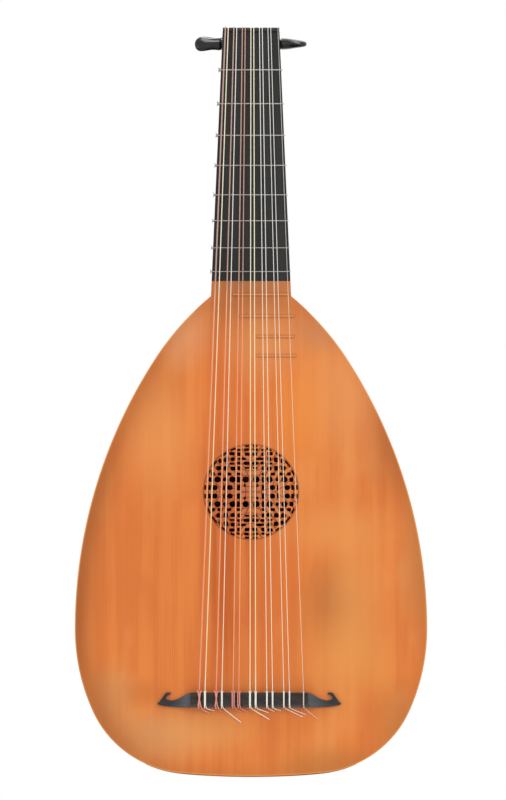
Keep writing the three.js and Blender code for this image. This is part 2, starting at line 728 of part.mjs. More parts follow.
function makeBridge() {
  const back = bridgeFrontHeight - bridgeDepth;
  const left = bridgeBlockShift - bridgeBlockHalfLength;
  const right = bridgeBlockShift + bridgeBlockHalfLength;
  const block = barAcross([
    [0, back],
    [-bridgeLedgeHeight, back],
    [-bridgeBlockHeight, bridgeFrontHeight - bridgeTopDepth],
    [-bridgeBlockHeight, bridgeFrontHeight],
    [0, bridgeFrontHeight],
  ], left, right);
  const arms = [[left, -1], [right, 1]].map(([start, side]) => {
    const outline = bridgeArmShares.map(([out, up]) => (
      new THREE.Vector2(start + side * out * bridgeArmLength, back + up * bridgeDepth)));
    return plate(new THREE.Shape(outline), -bridgeArmHeight, 0);
  });
  const holes = strings.map((string) => {
    const radius = (string.radius + stringClearance) / Math.cos(Math.PI / bridgeHoleSides);
    const heights = [back - overrun, bridgeFrontHeight + overrun];
    const ends = heights.map((height) => new THREE.Vector3(string.bridgeX, -bridgeHoleHeight, height));
    return tube(ends, radius, bridgeHoleSides);
  });
  addPiece(lute, 'bridge', cut(fuse([block, ...arms]), holes), finish(colours.ebony, 0.35));
}

// The pegbox and its pegs

// Leaning back by its bend, the pegbox lies so that its cheeks stay below the strings as they leave the nut.
const pegboxTilt = Math.PI / 2 - pegboxBend;
const pegboxHeight = nutTopHeight - pegboxCheekDrop - pegboxNearDepth * Math.cos(pegboxTilt);
const pegboxPlace = new THREE.Matrix4()
  .makeTranslation(0, pegboxFront, pegboxHeight)
  .multiply(new THREE.Matrix4().makeRotationX(pegboxTilt));

const pegboxHalfWidthAt = (reach) => (
  THREE.MathUtils.lerp(pegboxNearHalfWidth, pegboxFarHalfWidth, reach / pegboxLength));
const pegboxDepthAt = (reach) => THREE.MathUtils.lerp(pegboxNearDepth, pegboxFarDepth, reach / pegboxLength);
const pegRadiusAt = (towardsHead) => THREE.MathUtils.lerp(
  pegTipRadius, pegCollarRadius, (towardsHead + pegboxNearHalfWidth) / (2 * pegboxNearHalfWidth));

// Every peg, from the nut outwards: bass ones at even places, treble ones at odd places.
function listPegs() {
  const count = stringDiameters.length;
  const pegPitch = (pegboxLength - lastPegStandoff - firstPegReach) / (count - 1);
  return Array.from({ length: count }, (unused, place) => {
    const isBass = place % 2 === 0;
    const order = Math.floor(place / 2);
    const reach = firstPegReach + place * pegPitch;
    return {
      number: isBass ? order + 1 : count - order,
      side: isBass ? -1 : 1,
      reach,
      height: pegboxDepthAt(reach) - THREE.MathUtils.lerp(firstPegDepth, lastPegDepth, place / (count - 1)),
      windingShare: order / (bassPegCount - 1),
    };
  });
}

const pegs = listPegs();

// A peg's head: how far out each ring lies, and its half width and half thickness, as shares of the head's.
const pegHeadShares = [
  [0, 0.62, 0.82], [0.05, 0.84, 0.97], [0.16, 0.88, 1], [0.3, 0.84, 0.93], [0.44, 0.86, 0.84],
  [0.62, 0.95, 0.72], [0.8, 1, 0.6], [0.93, 0.8, 0.48], [1, 0.34, 0.24],
];

function makePeg(peg, group) {
  const half = pegboxHalfWidthAt(peg.reach);
  const ringAt = (x, halfWidth, halfThickness) => Array.from({ length: pegSides }, (unused, side) => {
    const angle = (2 * Math.PI * side) / pegSides;
    return new THREE.Vector3(x, halfThickness * Math.cos(angle), halfWidth * Math.sin(angle));
  });
  const shaftRing = (x, share) => ringAt(x, share * pegRadiusAt(x), share * pegRadiusAt(x));
  const headStart = half + pegNeckStand;
  const rings = [
    shaftRing(-half - pegTipStand, 0.7),
    shaftRing(-half - pegTipStand / 2, 1),
    shaftRing(headStart, 1),
    ...pegHeadShares.map(([out, width, thickness]) => (
      ringAt(headStart + out * pegHeadLength, width * pegHeadHalfWidth, thickness * pegHeadHalfThickness))),
  ];
  const mesh = addPiece(group, numbered('peg', peg.number), loft(rings), finish(colours.ebony, 0.35));
  mesh.position.set(0, peg.reach, peg.height);
  const turn = THREE.MathUtils.degToRad(pegTurnsInDegrees[peg.number - 1]);
  mesh.rotation.set(turn, 0, peg.side < 0 ? Math.PI : 0, 'ZXY');
}

function pegHole(peg) {
  const reach = pegboxNearHalfWidth + overrun;
  const rings = [-reach, reach].map((x) => Array.from({ length: pegHoleSides }, (unused, side) => {
    const angle = (2 * Math.PI * side) / pegHoleSides;
    const radius = pegRadiusAt(peg.side * x) + pegClearance;
    return new THREE.Vector3(x, peg.reach + radius * Math.cos(angle), peg.height + radius * Math.sin(angle));
  }));
  return loft(rings);
}

function makePegbox() {
  const group = new THREE.Group();
  group.position.setFromMatrixPosition(pegboxPlace);
  group.rotation.setFromRotationMatrix(pegboxPlace);
  lute.add(group);
  const cheekEnd = pegboxLength - pegboxEndThickness;
  const cheekRing = (side, reach) => {
    const outer = pegboxHalfWidthAt(reach);
    const corners = [[outer, 0], [outer - cheekThickness, 0], [outer - cheekThickness, 1], [outer, 1]];
    return corners.map(([x, top]) => new THREE.Vector3(
      side * x, reach, THREE.MathUtils.lerp(pegboxBackThickness, pegboxDepthAt(reach), top)));
  };
  const cheek = (side) => cut(loft([cheekRing(side, 0), cheekRing(side, cheekEnd)]), pegs.map(pegHole));
  addPiece(group, 'pegbox_bass_cheek', cheek(-1), finish(colours.neck, 0.4));
  addPiece(group, 'pegbox_treble_cheek', cheek(1), finish(colours.neck, 0.4));
  const backRing = (reach, low) => {
    const outer = pegboxHalfWidthAt(reach);
    const high = pegboxBackThickness;
    return [[-outer, low], [outer, low], [outer, high], [-outer, high]].map(([x, z]) => (
      new THREE.Vector3(x, reach, z)));
  };
  // The back is rebated where the neck carries it, so that the rest of its underside is one free, flat face.
  const neckBack = soundboardThickness + neckDepthAt(pegboxHeight);
  const seatEnd = (neckBack - pegboxFront) / Math.cos(pegboxTilt) + pegboxFitGap;
  const back = loft([
    backRing(0, pegboxSeatDepth),
    backRing(seatEnd, pegboxSeatDepth),
    backRing(seatEnd, 0),
    backRing(cheekEnd, 0),
  ]);
  addPiece(group, 'pegbox_back', back, finish(colours.neck, 0.4));
  const endRing = (reach, inset) => {
    const outer = pegboxFarHalfWidth + pegboxEndOverhang - inset;
    const low = inset;
    const high = pegboxFarDepth + pegboxEndOverhang - inset;
    return [[-outer, low], [outer, low], [outer, high], [-outer, high]].map(([x, z]) => (
      new THREE.Vector3(x, reach, z)));
  };
  const endBlock = loft([
    endRing(cheekEnd, 0),
    endRing(pegboxLength - pegboxEndThickness / 3, 0),
    endRing(pegboxLength, pegboxEndThickness / 3),
  ]);
  addPiece(group, 'pegbox_end_block', endBlock, finish(colours.neck, 0.4));
  pegs.forEach((peg) => makePeg(peg, group));
}

// The strings, from the bass: two to a course, and one for the highest.

function listStrings() {
  return stringDiameters.map((diameter, index) => {
    const course = Math.floor(index / 2);
    const isSingle = course === courseCount - 1;
    const sideOfPair = isSingle ? 0 : (index % 2) - 0.5;
    const fromMiddle = course - (courseCount - 1) / 2;
    return {
      number: index + 1,
      radius: diameter / 2,
      nutX: courseShiftAtNut + fromMiddle * coursePitchAtNut + sideOfPair * pairGapAtNut,
      bridgeX: courseShiftAtBridge + fromMiddle * coursePitchAtBridge + sideOfPair * pairGapAtBridge,
      peg: pegs.find((peg) => peg.number === index + 1),
    };
  });
}

const strings = listStrings();

// How far the cut end of each string reaches across and down from its hole, behind the bridge.
const stringTails = [
  [9.6, 4.4], [8.4, 2.2], [4.6, 3], [17.3, 13], [7.6, 3.4], [7.8, 2.8], [17.8, 10.4],
  [11.8, 4], [6.6, 3], [7.4, 2.2], [17.4, 8.2], [14.8, 6], [12.8, 10],
];

// The tie at the bridge: from the cut end over the block, round the string itself, back over the block,
// and through the hole to the front.
function routeAtBridge(string) {
  const { radius, bridgeX, number } = string;
  const back = bridgeFrontHeight - bridgeDepth;
  const close = radius + stringClearance;
  const over = -(bridgeBlockHeight + close);
  const under = -(bridgeHoleHeight - 2 * radius - tieGap);
  const topBack = bridgeFrontHeight - bridgeTopDepth - close;
  const front = bridgeFrontHeight + close;
  const beside = close;
  const eased = close * Math.tan(Math.PI / 8);
  const hook = 2 * radius + tieGap;
  const [tailAcross, tailDown] = stringTails[number - 1];
  const route = [
    [tailAcross, -close, back - close - tailDown],
    [beside + 1.7 * close, -bridgeLedgeHeight, back - 1.5 * close],
    [beside, over, topBack],
    [beside, over, bridgeFrontHeight + eased],
    [beside, -bridgeBlockHeight - eased, front],
    [hook, -bridgeBlockHeight + close, front],
    [hook, under - close, front + close / 2],
    [0, under, front + close / 2],
    [-hook, under - close, front + close / 2],
    [-hook, -bridgeBlockHeight + close, front],
    [-beside, -bridgeBlockHeight - eased, front],
    [-beside, over, bridgeFrontHeight + eased],
    [-beside, over, topBack],
    [-beside / 2, -bridgeHoleHeight - close / 2, back - close / 2],
    [0, -bridgeHoleHeight, back - close / 2],
    [0, -bridgeHoleHeight, bridgeFrontHeight + 2 * close],
  ];
  return route.map(([x, y, z]) => new THREE.Vector3(bridgeX + x, y, z));
}

// The winding on the peg, one round after another, away from the side that the string comes from.
function winding(string) {
  const { peg, radius } = string;
  const nearReach = pegboxHalfWidthAt(peg.reach) - cheekThickness - windingCheekGap;
  const start = peg.side * THREE.MathUtils.lerp(nearReach, windingFarReach, peg.windingShare);
  const pitch = (2 * radius + windingGap) * Math.sign(start - string.nutX);
  const shaft = pegRadiusAt(Math.abs(start) + Math.abs(pitch) * windingTurns);
  const away = (shaft + stringClearance) / Math.cos(Math.PI / windingSteps) + radius;
  const fromNut = new THREE.Vector3(string.nutX, nutCorner.y, nutTopHeight + stringClearance + radius);
  fromNut.applyMatrix4(pegboxPlace.clone().invert());
  const run = new THREE.Vector2(fromNut.y - peg.reach, fromNut.z - peg.height);
  const firstAngle = Math.atan2(run.y, run.x) - Math.acos(away / run.length());
  const steps = Math.round(windingTurns * windingSteps);
  const points = [];
  for (let step = 0; step <= steps; step += 1) {
    const angle = firstAngle - (2 * Math.PI * step) / windingSteps;
    const x = start + (pitch * step) / windingSteps;
    const y = peg.reach + away * Math.cos(angle);
    const z = peg.height + away * Math.sin(angle);
    points.push(new THREE.Vector3(x, y, z));
  }
  const last = firstAngle - (2 * Math.PI * steps) / windingSteps;
  const end = points[points.length - 1].clone();
  end.y += 2 * radius * Math.sin(last);
  end.z -= 2 * radius * Math.cos(last);
  points.push(end);
  return points.map((point) => point.applyMatrix4(pegboxPlace));
}

// The bend over the nut, from the way along the fingerboard to the way into the pegbox.
function bendOverNut(string) {
  const radius = nutCornerRadius - nutGrooveDepth + stringClearance + string.radius;
  const target = winding(string)[0];
  const descent = Math.atan2(nutCorner.z + radius - target.z, target.y - nutCorner.y);
  const sweep = Math.PI / 2 + descent;
  return Array.from({ length: nutCornerSteps + 1 }, (unused, step) => {
    const angle = (sweep * step) / nutCornerSteps;
    return new THREE.Vector3(
      string.nutX, nutCorner.y - radius * Math.cos(angle), nutCorner.z + radius * Math.sin(angle));
  });
}

function routeOverNut(string) {
  const bend = bendOverNut(string);
  const fromBridge = new THREE.Vector3(string.bridgeX, -bridgeHoleHeight, bridgeFrontHeight);
  const before = bend[0].clone().add(fromBridge.sub(bend[0]).normalize().multiplyScalar(nutLength));
  const last = bend[bend.length - 1];
  const after = last.clone().add(winding(string)[0].sub(last).normalize().multiplyScalar(pegboxFront));
  return [before, ...bend, after];
}

function turnAt(points, index) {
  const before = points[index].clone().sub(points[index - 1]);
  return before.angleTo(points[index + 1].clone().sub(points[index]));
}

// Takes the sharpness off the tight corners of a route, by two points in place of one.
function easeCorners(points, radius) {
  return points.flatMap((point, index) => {
    const isEnd = index === 0 || index === points.length - 1;
    if (isEnd || turnAt(points, index) < tightTurn) {
      return [point];
    }
    return [points[index - 1], points[index + 1]].map((neighbour) => {
      const way = neighbour.clone().sub(point);
      const reach = Math.min(1.2 * radius, way.length() / 3);
      return point.clone().addScaledVector(way.normalize(), reach);
    });
  });
}

// The least gap between a cord and itself, measured on points that lie closer together than its radius.
function leastGapToItself(points, radius) {
  const samples = [];
  let travelled = 0;
  points.slice(1).forEach((point, index) => {
    const length = point.distanceTo(points[index]);
    const pieces = Math.ceil(length / radius);
    for (let piece = 0; piece < pieces; piece += 1) {
      const at = points[index].clone().lerp(point, piece / pieces);
      samples.push({ at, travelled: travelled + (length * piece) / pieces });
    }
    travelled += length;
  });
  let least = Infinity;
  samples.forEach((one, index) => {
    for (let other = index + 1; other < samples.length; other += 1) {
      if (samples[other].travelled - one.travelled > 8 * radius) {
        least = Math.min(least, one.at.distanceTo(samples[other].at) - 2 * radius);
      }
    }
  });
  return least;
}

function makeStrings() {
  const gaps = strings.map((string) => {
    const route = [
      ...easeCorners(routeAtBridge(string), string.radius),
      ...bendOverNut(string),
      ...winding(string),
    ];
    const isPale = string.number > courseCount - 1 || string.number === 2;
    const material = finish(isPale ? colours.paleString : colours.bassString, 0.4);
    addPiece(lute, numbered('string', string.number), tube(route, string.radius, stringSides), material);
    return leastGapToItself(route, string.radius);
  });
  console.log(`Least gap of a string to itself: ${Math.min(...gaps).toFixed(2)} mm`);
}

makeRibs();
makeEndClasp();
makeNeckBlock();
makeSoundboard();
makeNeck();
makeNut();
makeTiedFrets();
makeBodyFrets();
makeBridge();
makePegbox();
makeStrings();

const hangPoint = new THREE.Vector3(0, hangReach, 0).applyMatrix4(pegboxPlace);
lute.position.copy(hangPoint).negate();

export default lute;
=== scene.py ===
# %% [markdown]
# # A lute of seven courses
# A lute is a thin soundboard over a bowl of bent ribs, with a short neck, a pegbox bent back behind the
# nut, and gut frets tied round the neck. A frame of plain solids already has every piece at its real size
# and place. This lesson dresses that frame: it models the finer pieces over it and gives each its finish.

import json
import math
from collections import namedtuple

import bpy
from mathutils import Matrix, Vector


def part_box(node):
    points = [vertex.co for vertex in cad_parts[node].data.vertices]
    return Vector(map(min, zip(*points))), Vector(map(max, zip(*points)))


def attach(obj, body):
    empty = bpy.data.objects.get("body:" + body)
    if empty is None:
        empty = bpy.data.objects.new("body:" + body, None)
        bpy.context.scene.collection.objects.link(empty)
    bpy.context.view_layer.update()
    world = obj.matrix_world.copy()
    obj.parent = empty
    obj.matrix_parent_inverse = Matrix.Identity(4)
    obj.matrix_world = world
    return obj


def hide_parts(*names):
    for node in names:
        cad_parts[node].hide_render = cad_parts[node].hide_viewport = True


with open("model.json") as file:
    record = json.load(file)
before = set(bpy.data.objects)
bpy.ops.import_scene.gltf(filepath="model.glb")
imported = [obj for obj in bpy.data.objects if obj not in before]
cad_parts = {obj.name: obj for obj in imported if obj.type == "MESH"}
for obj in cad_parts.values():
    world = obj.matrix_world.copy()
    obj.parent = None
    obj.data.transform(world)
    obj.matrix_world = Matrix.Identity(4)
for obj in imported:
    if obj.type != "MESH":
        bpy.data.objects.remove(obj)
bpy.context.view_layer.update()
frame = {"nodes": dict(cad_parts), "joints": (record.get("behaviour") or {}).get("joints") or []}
bpy.ops.object.select_all(action="DESELECT")

# %% [markdown]
# ## Measuring from the frame
# A lute maker works in millimetres, from the soundboard's front and its lowest point, so this lesson does
# too. The helper at() turns such a place into Blender's metres, and the main sizes are read from the frame,
# so that the pieces always fit it.

# %% Sizes read from the frame
MM = 0.001
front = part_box("soundboard")[0].y
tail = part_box("soundboard")[0].z


def at(across, depth, height):
    """A place, from how far across, behind the soundboard's front and above its tail it is."""
    return Vector((across * MM, front + depth * MM, tail + height * MM))


def height_of(z):
    return (z - tail) / MM


def between(first, last, share):
    """The value that lies a share of the way from the first to the last."""
    return first + (last - first) * share


def even_steps(end, count):
    """The values from nought to an end, in a count of equal steps."""
    return [end * step / count for step in range(count + 1)]


def halving_search(low, high, is_short):
    """Narrows a range down to the value at which is_short() is no longer true."""
    for _ in range(40):
        middle = (low + high) / 2
        low, high = (middle, high) if is_short(middle) else (low, middle)
    return low


board_thickness = (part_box("fingerboard")[1].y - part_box("fingerboard")[0].y) / MM
body_half_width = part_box("soundboard")[1].x / MM
joint_height = height_of(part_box("neck")[0].z)
tongue_height = height_of(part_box("fingerboard")[0].z)
nut_front_height = height_of(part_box("fingerboard")[1].z)
nut_top_height = height_of(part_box("nut")[1].z)
neck_foot_half_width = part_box("neck")[1].x / MM
neck_head_half_width = 25.9
neck_head_depth = 22
print("Body:", round(2 * body_half_width), "mm wide; joint with the neck at", round(joint_height), "mm")

# %% [markdown]
# ## The camera, the light and the room
# The lute is photographed square on, against pure white. A long lens from four metres keeps the perspective
# small. The white comes from the world, but only for the rays that look at it or mirror it: what lights the
# wood is a plainer level of the same world and four soft lamps. The smaller one high above draws the bright
# lines along the pegs, the frets and the ties.

# %% Camera
camera_distance = 4000
frame_height = 728
frame_middle = (1.8, 342.2)
camera_data = bpy.data.cameras.new("camera")
camera_data.sensor_width = 36
camera_data.lens = camera_data.sensor_width * camera_distance / frame_height
camera_data.clip_end = 50
camera = bpy.data.objects.new("camera", camera_data)
camera.location = at(frame_middle[0], -camera_distance, frame_middle[1])
camera.rotation_euler = (math.pi / 2, 0, 0)
bpy.context.collection.objects.link(camera)
bpy.context.scene.camera = camera
bpy.context.scene.view_settings.view_transform = "Standard"
print("Camera: lens", round(camera_data.lens), "mm")


# %% Nodes are added with helpers
def node(tree, kind, inputs=None, **settings):
    """A shader node, with its settings, and each input either linked to a socket or set to a value."""
    made = tree.nodes.new(kind)
    for name, value in settings.items():
        setattr(made, name, value)
    for name, value in (inputs or {}).items():
        if isinstance(value, bpy.types.NodeSocket):
            tree.links.new(value, made.inputs[name])
        else:
            made.inputs[name].default_value = value
    return made


def maths(tree, operation, first, second=0.0, clamp=False):
    inputs = {0: first, 1: second}
    return node(tree, "ShaderNodeMath", inputs, operation=operation, use_clamp=clamp).outputs[0]


def colour(code):
    """A colour for a shader, from the code that a picture editor shows for it."""
    parts = [int(code[start:start + 2], 16) / 255 for start in (1, 3, 5)]
    return [part / 12.92 if part <= 0.04045 else ((part + 0.055) / 1.055) ** 2.4 for part in parts] + [1]


# %% World
world_level = 0.57
world = bpy.data.worlds.new("studio")
world.use_nodes = True
bpy.context.scene.world = world
tree = world.node_tree
tree.nodes.clear()
path = node(tree, "ShaderNodeLightPath").outputs
mirrored = maths(tree, "MAXIMUM", path["Is Glossy Ray"], path["Is Transmission Ray"])
looked_at = maths(tree, "MAXIMUM", path["Is Camera Ray"], mirrored)
lighting, seen = [node(tree, "ShaderNodeBackground", {"Color": (1, 1, 1, 1), "Strength": strength}).outputs[0]
                  for strength in (world_level, 1)]
mixed = node(tree, "ShaderNodeMixShader", {0: looked_at, 1: lighting, 2: seen}).outputs[0]
node(tree, "ShaderNodeOutputWorld", {"Surface": mixed})


# %% Lamps: each one's name, place in millimetres, size in metres and power in watts
lamps = [
    ("key", (1700, -2500, 1900), 1.6, 28),
    ("fill", (-2300, -2200, 700), 2.0, 12),
    ("back", (-800, 2600, 1800), 2.0, 22),
    ("top", (-300, -1400, 4400), 1.2, 36),
]
for name, place, size, power in lamps:
    data = bpy.data.lights.new(name, "AREA")
    data.size = size
    data.energy = power
    lamp = bpy.data.objects.new(name, data)
    lamp.location = at(*place)
    toward = at(0, 0, joint_height / 2) - lamp.location
    lamp.rotation_euler = toward.to_track_quat("-Z", "Y").to_euler()
    bpy.context.collection.objects.link(lamp)
print("Lamps:", len(lamps))


# %% Objects are picked and named with three helpers
def pick(piece):
    """Makes one object the only one selected, and the active one."""
    bpy.ops.object.select_all(action="DESELECT")
    piece.select_set(True)
    bpy.context.view_layer.objects.active = piece


def named(name):
    """Names the object that an operator has just added."""
    piece = bpy.context.view_layer.objects.active
    piece.name = name
    piece.data.name = name
    return piece


def apply_place(piece):
    pick(piece)
    bpy.ops.object.transform_apply(location=True, rotation=True, scale=True)


# %% Floor
floor_drop = 300
floor_radius = 2200
bpy.ops.mesh.primitive_circle_add(vertices=96, radius=floor_radius * MM, fill_type="NGON",
                                  location=at(0, 0, -floor_drop))
floor = named("floor")
apply_place(floor)
paper = bpy.data.materials.new("Pale floor")
paper.use_nodes = True
paper.node_tree.nodes["Principled BSDF"].inputs["Base Color"].default_value = colour("#EDEBE6")
paper.node_tree.nodes["Principled BSDF"].inputs["Roughness"].default_value = 0.8
floor.data.materials.append(paper)

# %% [markdown]
# ## Finishes
# Wood is built from one group, Grain, that every wooden material places with its own colours. Grain runs
# along one axis: the coordinates are squeezed along it, so that round blobs of noise become long streaks,
# and a band wave adds the year rings. Two more groups are masks: Spot fades a mark around a place, for
# patches of colour, painted sheen and painted shade, and Bar mark gives a short bar soft edges, for the
# painted shade round the body frets.


# %% Short names for the nodes that come back often
def mix(tree, factor, first, second):
    return node(tree, "ShaderNodeMix", {0: factor, 6: first, 7: second}, data_type="RGBA").outputs[2]


def product(tree, first, *others):
    for other in others:
        first = maths(tree, "MULTIPLY", first, other)
    return first


def remap(tree, value, low, high, new_low=0.0, new_high=1.0):
    inputs = {"Value": value, "From Min": low, "From Max": high, "To Min": new_low, "To Max": new_high}
    return node(tree, "ShaderNodeMapRange", inputs, interpolation_type="SMOOTHSTEP").outputs[0]


def vectors(tree, operation, first, second=None):
    """Vector Math on one or two inputs."""
    inputs = {0: first} if second is None else {0: first, 1: second}
    outputs = node(tree, "ShaderNodeVectorMath", inputs, operation=operation).outputs
    return outputs["Value"] if operation == "LENGTH" else outputs[0]


def split(tree, vector):
    return node(tree, "ShaderNodeSeparateXYZ", {0: vector}).outputs


def joined(tree, x, y, z):
    return node(tree, "ShaderNodeCombineXYZ", {0: x, 1: y, 2: z}).outputs[0]


def noise(tree, vector, scale, detail=2.0, **others):
    inputs = {"Vector": vector, "Scale": scale, "Detail": detail, **others}
    return node(tree, "ShaderNodeTexNoise", inputs).outputs[0]


def object_place(tree):
    return node(tree, "ShaderNodeTexCoord").outputs["Object"]


# %% Groups of nodes
def new_group(name, inputs, outputs):
    """An empty group, and the sockets that it is given. A socket's kind follows from its first value."""
    group = bpy.data.node_groups.new(name, "ShaderNodeTree")
    for in_out, sockets in (("INPUT", inputs), ("OUTPUT", outputs)):
        for socket_name, value in sockets.items():
            kind = "Float" if isinstance(value, float) else {3: "Vector", 4: "Color"}[len(value)]
            kind = f"NodeSocket{kind}"
            socket = group.interface.new_socket(name=socket_name, in_out=in_out, socket_type=kind)
            socket.default_value = value
    return group, group.nodes.new("NodeGroupInput").outputs


def end_group(group, results):
    """Adds the group's output node, fed by the results."""
    node(group, "NodeGroupOutput", results)
    return group


def place_group(tree, group, inputs):
    return node(tree, "ShaderNodeGroup", inputs, node_tree=group).outputs


# %% Grain, which runs along Z
def build_grain():
    group, given = new_group(
        "Grain",
        {"Vector": (0, 0, 0), "Light": (1, 1, 1, 1), "Dark": (0, 0, 0, 1), "Stretch": 0.04, "Streaks": 60.0,
         "Lines": 220.0, "Line Weight": 0.3},
        {"Color": (0, 0, 0, 1), "Height": 0.0})
    along = vectors(group, "MULTIPLY", given["Vector"], joined(group, 1.0, 1.0, given["Stretch"]))
    streaks = noise(group, along, given["Streaks"], 4.0, Roughness=0.55)
    fibres = noise(group, along, product(group, given["Lines"], 4.0))
    waves = {"Vector": along, "Scale": given["Lines"], "Distortion": 3.0, "Detail": 2.0, "Detail Scale": 0.6}
    rings = node(group, "ShaderNodeTexWave", waves, bands_direction="X").outputs[1]
    fine = maths(group, "ADD", product(group, rings, 0.6), product(group, fibres, 0.4))
    weighted = product(group, maths(group, "SUBTRACT", fine, 0.5), given["Line Weight"])
    amount = maths(group, "ADD", remap(group, streaks, 0.32, 0.68), weighted, clamp=True)
    return end_group(group, {"Color": mix(group, amount, given["Light"], given["Dark"]), "Height": fine})


grain = build_grain()


def place_grain(tree, vector, light, dark, stretch, streaks, lines, line_weight):
    return place_group(tree, grain, {
        "Vector": vector, "Light": colour(light), "Dark": colour(dark), "Stretch": stretch,
        "Streaks": streaks, "Lines": lines, "Line Weight": line_weight})


# %% Spot
def build_spot():
    group, given = new_group(
        "Spot", {"Vector": (0, 0, 0), "Centre": (0, 0, 0), "Radii": (1, 1, 1), "Core": 0.2}, {"Mask": 0.0})
    away = vectors(group, "SUBTRACT", given["Vector"], given["Centre"])
    length = vectors(group, "LENGTH", vectors(group, "DIVIDE", away, given["Radii"]))
    return end_group(group, {"Mask": remap(group, length, given["Core"], 1.0, 1.0, 0.0)})


spot = build_spot()


def place_spot(tree, vector, centre, radii, core):
    return place_group(tree, spot, {"Vector": vector, "Centre": centre, "Radii": radii, "Core": core})["Mask"]


# %% Bar mark
bar_end_fade = (-0.001, 0.001)
bar_side_fade = (-0.0006, 0.0004)


def build_bar_mark():
    group, given = new_group(
        "Bar mark", {"Vector": (0, 0, 0), "Centre": (0, 0, 0), "Half Length": 0.02, "Half Width": 0.002},
        {"Mask": 0.0})
    away = vectors(group, "SUBTRACT", given["Vector"], given["Centre"])
    size = split(group, vectors(group, "ABSOLUTE", away))
    past_end = maths(group, "SUBTRACT", size[0], given["Half Length"])
    past_side = maths(group, "SUBTRACT", size[2], given["Half Width"])
    mask = product(group, remap(group, past_end, *bar_end_fade, 1.0, 0.0),
                   remap(group, past_side, *bar_side_fade, 1.0, 0.0))
    return end_group(group, {"Mask": mask})


bar_mark = build_bar_mark()


# %% A new material, and the links of its shader
fine_bump_distance = 0.0002


def new_material(name, roughness, coat=0.0, coat_roughness=0.1, specular=0.5):
    material = bpy.data.materials.new(name)
    material.use_nodes = True
    shader = material.node_tree.nodes["Principled BSDF"]
    shader.inputs["Roughness"].default_value = roughness
    shader.inputs["Coat Weight"].default_value = coat
    shader.inputs["Coat Roughness"].default_value = coat_roughness
    shader.inputs["Specular IOR Level"].default_value = specular
    return material, material.node_tree, shader


def link_shader(tree, shader, shade, rough, height, strength, distance=fine_bump_distance):
    """Links a shader's colour, its roughness where that varies, and its bump."""
    tree.links.new(shade, shader.inputs["Base Color"])
    if rough:
        tree.links.new(rough, shader.inputs["Roughness"])
    bump = node(tree, "ShaderNodeBump", {"Height": height, "Strength": strength, "Distance": distance})
    tree.links.new(bump.outputs[0], shader.inputs["Normal"])


# %% [markdown]
# ## The outline of the body
# The body's outline is a chain of arcs that run into each other, drawn by compass: one for the tail, one
# for the tight corner, two for the sides and one for the shoulder. Each arc is kept as its centre, its
# radius and its two angles, and place_along() walks along them all, so that any piece can follow the
# outline smoothly.

# %% Arcs of the outline
Arc = namedtuple("Arc", "centre radius start end")
Place = namedtuple("Place", "half height across up")

widest_height = 133.9
upper_side_turn = math.radians(33.1)
shoulder_radius_share = 0.5565
lower_side_radius_share = 1.352
lower_side_turn = math.radians(24.4)
corner_radius_share = 0.719


def find_upper_side_radius():
    inward = body_half_width - neck_foot_half_width
    upward = joint_height - widest_height
    rest = 1 - shoulder_radius_share
    square = 2 * rest * (1 - math.cos(upper_side_turn))
    linear = inward * (1 - rest * math.cos(upper_side_turn)) + upward * rest * math.sin(upper_side_turn)
    return (linear - math.sqrt(linear ** 2 - square * (inward ** 2 + upward ** 2))) / square


def outline_arcs():
    upper_radius = find_upper_side_radius()
    shoulder_radius = shoulder_radius_share * upper_radius
    lower_radius = lower_side_radius_share * widest_height
    corner_radius = corner_radius_share * widest_height
    upper_centre = Vector((body_half_width - upper_radius, widest_height))
    lower_centre = Vector((body_half_width - lower_radius, widest_height))
    upper_way = Vector((math.cos(upper_side_turn), math.sin(upper_side_turn)))
    lower_way = Vector((math.cos(lower_side_turn), -math.sin(lower_side_turn)))
    shoulder_centre = upper_centre + upper_way * (upper_radius - shoulder_radius)
    corner_centre = lower_centre + lower_way * (lower_radius - corner_radius)
    square = corner_centre.length_squared - corner_radius ** 2
    tail_radius = square / (2 * (corner_centre.y - corner_radius))
    tail_centre = Vector((0, tail_radius))
    to_corner = corner_centre - tail_centre
    tail_end = math.atan2(to_corner.y, to_corner.x)
    shoulder_end = math.asin((joint_height - shoulder_centre.y) / shoulder_radius)
    return [
        Arc(tail_centre, tail_radius, -math.pi / 2, tail_end),
        Arc(corner_centre, corner_radius, tail_end, -lower_side_turn),
        Arc(lower_centre, lower_radius, -lower_side_turn, 0),
        Arc(upper_centre, upper_radius, 0, upper_side_turn),
        Arc(shoulder_centre, shoulder_radius, upper_side_turn, shoulder_end),
    ]


arcs = outline_arcs()
outline_length = sum(arc.radius * (arc.end - arc.start) for arc in arcs)


def place_along(distance):
    """The place at a distance along the outline from the tail: its half width, height and outward way."""
    for arc in arcs:
        length = arc.radius * (arc.end - arc.start)
        if distance <= length or arc is arcs[-1]:
            break
        distance -= length
    angle = arc.start + distance / arc.radius
    across, up = math.cos(angle), math.sin(angle)
    return Place(arc.centre.x + arc.radius * across, arc.centre.y + arc.radius * up, across, up)


def distance_to_half_width(half):
    """How far along the outline from the tail the body first reaches a half width."""
    longest = sum(arc.radius * (arc.end - arc.start) for arc in arcs[:3])
    return halving_search(0, longest, lambda distance: place_along(distance).half < half)


def outline_points(spacing):
    """The whole outline of the soundboard from tail to tongue and back, as points across and up."""
    steps = round(outline_length / spacing)
    treble = [place_along(distance) for distance in even_steps(outline_length, steps)[1:]]
    points = [(place.half, place.height) for place in treble]
    points.append((neck_half_width_at(tongue_height), tongue_height))
    return [(0, 0)] + points + [(-x, z) for x, z in reversed(points)]


def neck_share_at(height):
    """How far up the neck a height lies, as a share of the way from the joint to the nut."""
    return (height - joint_height) / (nut_front_height - joint_height)


def neck_half_width_at(height):
    return between(neck_foot_half_width, neck_head_half_width, neck_share_at(height))


print("Outline:", round(outline_length), "mm from tail to neck on each side")
